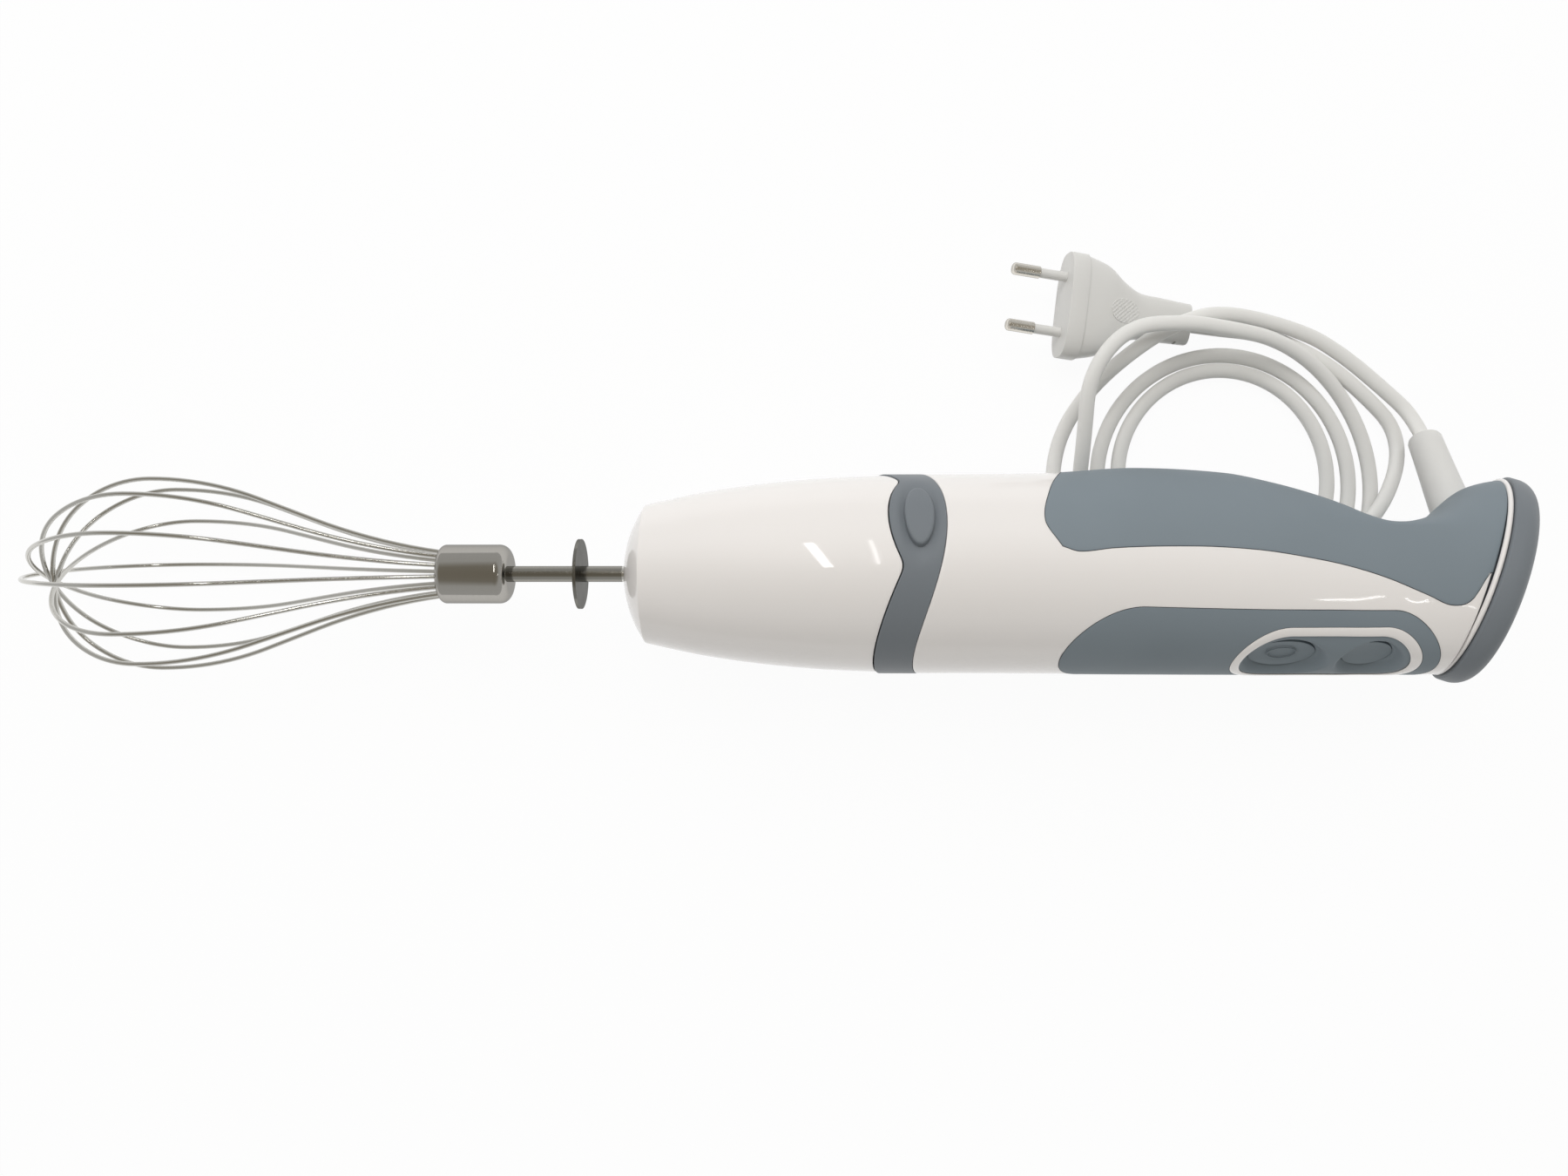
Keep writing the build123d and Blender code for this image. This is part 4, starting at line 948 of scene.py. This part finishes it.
class MIXER_OT_lead(Operator):
    """Flat mains lead: from the sleeve, round the coil under the handle, and into the plug"""

    bl_idname = "mixer.lead"
    bl_label = "Mains lead"

    BEFORE_PLUG = 10.0
    INTO_PLUG = 2.0
    PLUG_LIFT = Vector((0, 0, 0.6))  # holds the lead off the table before it goes into the plug
    MIDDLE = 0.1  # points of the round section nearer its middle than this stay there

    def coil_point(self, turn):
        angle = radians(turn)
        laid = (turn - COIL_START) / 360
        radius = COIL_R0 - COIL_PITCH * laid
        radius += COIL_CROWD * max(0.0, laid - 1) * ((1 + sin(angle)) / 2) ** 2
        height = LEAD_RISE
        for centre, width, size in COIL_BULGES:
            if abs(turn - centre) < width:
                radius += size * cos(pi / 2 * (turn - centre) / width) ** 2
        for centre, before, after, size in COIL_HUMPS:
            width = before if turn < centre else after
            if abs(turn - centre) < width:
                height += size * cos(pi / 2 * (turn - centre) / width) ** 2
        return (COIL_CENTRE[0] + radius * cos(angle), COIL_CENTRE[1] + radius * sin(angle), height)

    def route(self):
        points = [DEVICE @ Vector((SLEEVE_X, y, 0)) for y in LEAD_START]
        points += [TABLE @ Vector(p) for p in LEAD_IN]
        steps = int(COIL_TURNS * 360 / COIL_STEP)
        points += [TABLE @ Vector(self.coil_point(COIL_START + k * COIL_STEP)) for k in range(steps + 1)]
        points += [TABLE @ Vector(p) for p in LEAD_OUT]
        points.append(TABLE @ (PLUG_TAIL - PLUG_WAY * self.BEFORE_PLUG + self.PLUG_LIFT))
        points.append(TABLE @ (PLUG_TAIL + PLUG_WAY * self.INTO_PLUG))
        return points

    def flat_section(self, sizes):
        """A curve with round sides, as wide and as thick as the lead."""
        bpy.ops.object.select_all(action="DESELECT")
        bpy.ops.curve.primitive_bezier_circle_add(radius=1.0)
        section = bpy.context.object
        spread = (sizes.lead_width - sizes.lead_thickness) / 2
        for point in section.data.splines[0].bezier_points:
            for key in ("co", "handle_left", "handle_right"):
                old = getattr(point, key)
                new = old * (sizes.lead_thickness / 2)
                if abs(old.x) > self.MIDDLE:
                    new.x += copysign(spread, old.x)
                setattr(point, key, new)
        return section

    def execute(self, context):
        sizes = context.scene.mixer_sizes
        points = self.route()
        curve = bpy.data.curves.new("mains_lead", "CURVE")
        curve.dimensions = "3D"
        curve.twist_mode = "Z_UP"
        curve.resolution_u = 8
        spline = curve.splines.new("NURBS")
        spline.points.add(len(points) - 1)
        for place, point in zip(spline.points, points):
            place.co = (*point, 1.0)
        spline.order_u = 3
        spline.use_endpoint_u = True
        lead = bpy.data.objects.new("mains_lead", curve)
        context.scene.collection.objects.link(lead)
        line = bpy.data.meshes.new_from_object(lead.evaluated_get(context.evaluated_depsgraph_get()))
        bpy.data.meshes.remove(line)
        section = self.flat_section(sizes)
        curve.bevel_mode = "OBJECT"
        curve.bevel_object = section
        curve.use_fill_caps = True
        only(lead)
        bpy.ops.object.convert(target="MESH")
        lead = named(context.object, "mains_lead")
        bpy.data.objects.remove(section)
        smooth(lead, 60.0)
        nodes = ("cord_lead", "cord_coil", "cord_tail")
        dress(lead, "motor_unit", "cord_white", finish_of("cord_white"), *nodes)
        return {"FINISHED"}


class MIXER_OT_plug(Operator):
    """Flat two-pin plug and the sleeve where the lead leaves the handle"""

    bl_idname = "mixer.plug"
    bl_label = "Plug and sleeve"

    STEPS = 52
    PATCH_BORDER = 0.97  # share of the patch inside its border

    def section(self, at):
        return between(PLUG_SECTIONS, at, 1), between(PLUG_SECTIONS, at, 2)

    def rings(self):
        """Sections from the middle of the tail to the middle of the front, where a slab stands out."""
        steps = [PLUG_FRONT[0] * k / self.STEPS for k in range(self.STEPS + 1)]
        rings = [(0.0, 0.0, 0.0)] + [(at, *self.section(at)) for at in steps]
        rings += [(PLUG_FRONT[0], *PLUG_HALF), (PLUG_FRONT[1], *PLUG_HALF), (PLUG_FRONT[1], 0.0, 0.0)]
        return rings

    def shell(self):
        rings = self.rings()
        last = len(rings) - 1

        def surface(u, v):
            at, half_w, half_h = rings[round(u * last)]
            across, up = cos(2 * pi * v), sin(2 * pi * v)
            power = 2 / PLUG_SQUARE
            x = copysign(half_w * abs(across) ** power, across)
            y = copysign(half_h * abs(up) ** power, up)
            return (x, y, at)

        shell = skin("plug_shell", last, 128, surface, 0.0, 0.00035, 40.0, PLUG, self.from_axis)
        for side in (-1, 1):
            for at in PLUG_SLOTS:
                self.cut_slot(shell, side, at)
        smooth(shell, 40.0)
        return shell

    def from_axis(self, point):
        arm = PLUG.inverted() @ point
        return PLUG.to_3x3() @ Vector((arm.x, arm.y, 0.0))

    def cut_slot(self, shell, side, at):
        bpy.ops.object.select_all(action="DESELECT")
        bpy.ops.mesh.primitive_cube_add(size=1.0)
        slot = bpy.context.object
        middle = Vector((side * PLUG_SECTIONS[0][1], 0, at))
        for vertex in slot.data.vertices:
            vertex.co = PLUG @ (middle + vertex.co * SLOT_SIZE)
        cut(shell, slot)

    def patch(self):
        """Raised diamonds in an oval on top of the plug."""
        middle, half_l, half_w = PLUG_PATCH

        def surface(u, v):
            at = middle + half_l * u * cos(2 * pi * v)
            across = half_w * u * sin(2 * pi * v)
            plug_w, plug_h = self.section(at)
            top = plug_h * (1 - (abs(across) / plug_w) ** PLUG_SQUARE) ** (1 / PLUG_SQUARE)
            ways = ((at + across) / PATCH_PITCH, (at - across) / PATCH_PITCH)
            ridges = sum(abs(way % 1.0 - 0.5) for way in ways)
            lift = PATCH_LIFT[0] + PATCH_LIFT[1] * ridges if u < self.PATCH_BORDER else -PATCH_SINK
            return (across, top + lift, at)

        up = (TABLE.to_3x3() @ PLUG_WAY.cross(PLUG_SIDE)).normalized()
        return skin("plug_patch", 40, 180, surface, 0.0, 0.0, 50.0, PLUG, lambda point: up)

    def sleeve(self):
        last = len(SLEEVE_PROFILE) - 1

        def surface(u, v):
            y, radius = SLEEVE_PROFILE[round(u * last)]
            return (SLEEVE_X + radius * cos(2 * pi * v), y, radius * sin(2 * pi * v))

        def from_axis(point):
            arm = DEVICE.inverted() @ point - Vector((SLEEVE_X, 0, 0))
            return DEVICE.to_3x3() @ Vector((arm.x, 0.0, arm.z))

        return skin("lead_sleeve", last, 64, surface, 0.8, 0.0001, 60.0, DEVICE, from_axis)

    def execute(self, context):
        white = finish_of("plug_white")
        dress(self.shell(), "motor_unit", "plug_white", white, "plug_body")
        dress(self.patch(), "motor_unit", "plug_white", white)
        dress(self.sleeve(), "motor_unit", "plug_white", white, "cord_sleeve")
        for node, name, slot in (
            ("plug_pins", "plug_pin_metal", "nickel"),
            ("plug_pin_sleeves", "plug_pin_sleeve", "plug_white"),
        ):
            dress(merged_copy(node, name, 40.0), "motor_unit", slot, finish_of(slot), node)
        return {"FINISHED"}


class MIXER_OT_inner(Operator):
    """Finishes of the pieces inside, which stay as the frame has them"""

    bl_idname = "mixer.inner"
    bl_label = "Inner works"

    def execute(self, context):
        for part in frame["record"]["subparts"]:
            node = frame["nodes"][part["node"]]
            node.data.materials.clear()
            node.data.materials.append(finish_of(part["material_slot"]))
        return {"FINISHED"}


class MIXER_OT_stage(Operator):
    """Pale floor, soft lights and the photograph's camera"""

    bl_idname = "mixer.stage"
    bl_label = "Stage"

    FLOOR_GLOW = 0.95  # share of plain white in the floor as the camera sees it
    # The room by height: sine of the height above the horizon, and its light
    ROOM = [
        (0.0, (0.60, 0.60, 0.60)),
        (0.62, (0.56, 0.56, 0.55)),
        (0.84, (0.30, 0.28, 0.24)),
        (1.0, (0.27, 0.245, 0.20)),
    ]
    # Lamps that show as glints: name, place, size, watts and roll
    GLINTS = [
        ("window", (-0.127, 0.38, 0.93), (0.032, 0.54), 0.6, 8.4),
        ("window gap", (-0.001, 0.436, 0.93), (0.004, 0.54), 0.075, 1.1),
        ("strip", (0.62, -0.073, 0.93), (0.012, 0.174), 0.07, -25.8),
    ]
    FLOOR_SIZE = 6.0
    FLOOR_GAP = 0.0001

    def room(self, scene):
        """A room with pale walls and a darker, warmer ceiling."""
        world = bpy.data.worlds.new("studio")
        scene.world = world
        world.use_nodes = True
        nodes, links = world.node_tree.nodes, world.node_tree.links
        towards = nodes.new("ShaderNodeTexCoord")
        parts = nodes.new("ShaderNodeSeparateXYZ")
        ramp = nodes.new("ShaderNodeValToRGB")
        stops = ramp.color_ramp.elements
        while len(stops) < len(self.ROOM):
            stops.new(0.5)
        for stop, (height, light) in zip(stops, self.ROOM):
            stop.position = height
            stop.color = (*light, 1.0)
        links.new(towards.outputs["Generated"], parts.inputs["Vector"])
        links.new(parts.outputs["Z"], ramp.inputs["Fac"])
        links.new(ramp.outputs["Color"], nodes["Background"].inputs["Color"])

    def floor(self):
        bpy.ops.object.select_all(action="DESELECT")
        bpy.ops.mesh.primitive_plane_add(size=self.FLOOR_SIZE, location=(0, 0, FLOOR_Z - self.FLOOR_GAP))
        plane = named(bpy.context.object, "floor")
        material = bpy.data.materials.new("pale floor")
        material.use_nodes = True
        nodes, links = material.node_tree.nodes, material.node_tree.links
        shader = nodes["Principled BSDF"]
        shader.inputs["Base Color"].default_value = (0.86, 0.86, 0.86, 1)
        shader.inputs["Roughness"].default_value = 0.9
        shader.inputs["Specular IOR Level"].default_value = 0.0
        glow = nodes.new("ShaderNodeEmission")
        glow.inputs["Strength"].default_value = 1.0
        seen = nodes.new("ShaderNodeLightPath")
        mirrored = nodes.new("ShaderNodeMath")
        mirrored.operation = "MAXIMUM"
        either = nodes.new("ShaderNodeMath")
        either.operation = "MAXIMUM"
        share = nodes.new("ShaderNodeMath")
        share.operation = "MULTIPLY"
        share.inputs[1].default_value = self.FLOOR_GLOW
        mix = nodes.new("ShaderNodeMixShader")
        links.new(seen.outputs["Is Glossy Ray"], mirrored.inputs[0])
        links.new(seen.outputs["Is Transmission Ray"], mirrored.inputs[1])
        links.new(seen.outputs["Is Camera Ray"], either.inputs[0])
        links.new(mirrored.outputs["Value"], either.inputs[1])
        links.new(either.outputs["Value"], share.inputs[0])
        links.new(share.outputs["Value"], mix.inputs["Fac"])
        links.new(shader.outputs["BSDF"], mix.inputs[1])
        links.new(glow.outputs["Emission"], mix.inputs[2])
        links.new(mix.outputs["Shader"], nodes["Material Output"].inputs["Surface"])
        plane.data.materials.append(material)

    def lamp(self, name, place, size, power, roll=0.0, aim=None):
        """An area lamp that points straight down, or at aim and then unseen in reflections."""
        bpy.ops.object.light_add(type="AREA", location=place)
        lamp = bpy.context.object
        lamp.name = name
        lamp.data.shape = "RECTANGLE"
        lamp.data.size, lamp.data.size_y = size
        lamp.data.energy = power
        lamp.rotation_euler = (0, 0, radians(roll))
        if aim:
            lamp.rotation_euler = (Vector(aim) - Vector(place)).to_track_quat("-Z", "Y").to_euler()
            lamp.visible_glossy = False

    def execute(self, context):
        self.floor()
        self.lamp("upper softbox", (-0.1, 0.7, 0.95), (1.4, 0.9), 8.5, aim=(0.0, 0.0, 0.03))
        for glint in self.GLINTS:
            self.lamp(*glint)
        self.room(context.scene)
        eye = PLACE + Vector((0, VIEW_ASIDE, VIEW_HEIGHT))
        bpy.ops.object.camera_add(location=eye, rotation=(0, 0, 0))
        camera = context.object
        camera.data.lens = VIEW_LENS
        camera.data.sensor_width = VIEW_SENSOR
        camera.data.clip_start = 0.01
        context.scene.camera = camera
        context.scene.view_settings.view_transform = "Standard"
        return {"FINISHED"}


class MIXER_PT_panel(Panel):
    """Lists the pieces of the mixer"""

    bl_idname = "MIXER_PT_panel"
    bl_label = "Mixer"
    bl_space_type = "VIEW_3D"
    bl_region_type = "UI"
    bl_category = "Mixer"

    def draw(self, context):
        for group in (context.scene.mixer_sizes, context.scene.mixer_colours):
            for key in group.__annotations__:
                self.layout.prop(group, key)
        for piece in PIECES:
            self.layout.operator(piece.bl_idname)


PIECES = [
    MIXER_OT_inner,
    MIXER_OT_body,
    MIXER_OT_grips,
    MIXER_OT_buttons,
    MIXER_OT_cap,
    MIXER_OT_ring,
    MIXER_OT_gearbox,
    MIXER_OT_whisk,
    MIXER_OT_plug,
    MIXER_OT_lead,
    MIXER_OT_stage,
]
CLASSES = [MixerSizes, MixerColours, *PIECES, MIXER_PT_panel]


def register():
    for item in CLASSES:
        bpy.utils.register_class(item)
    bpy.types.Scene.mixer_sizes = PointerProperty(type=MixerSizes)
    bpy.types.Scene.mixer_colours = PointerProperty(type=MixerColours)


def unregister():
    del bpy.types.Scene.mixer_colours
    del bpy.types.Scene.mixer_sizes
    for item in reversed(CLASSES):
        bpy.utils.unregister_class(item)


def main():
    register()
    for piece in PIECES:
        group, call = piece.bl_idname.split(".")
        getattr(getattr(bpy.ops, group), call)()


if __name__ == "__main__":
    main()
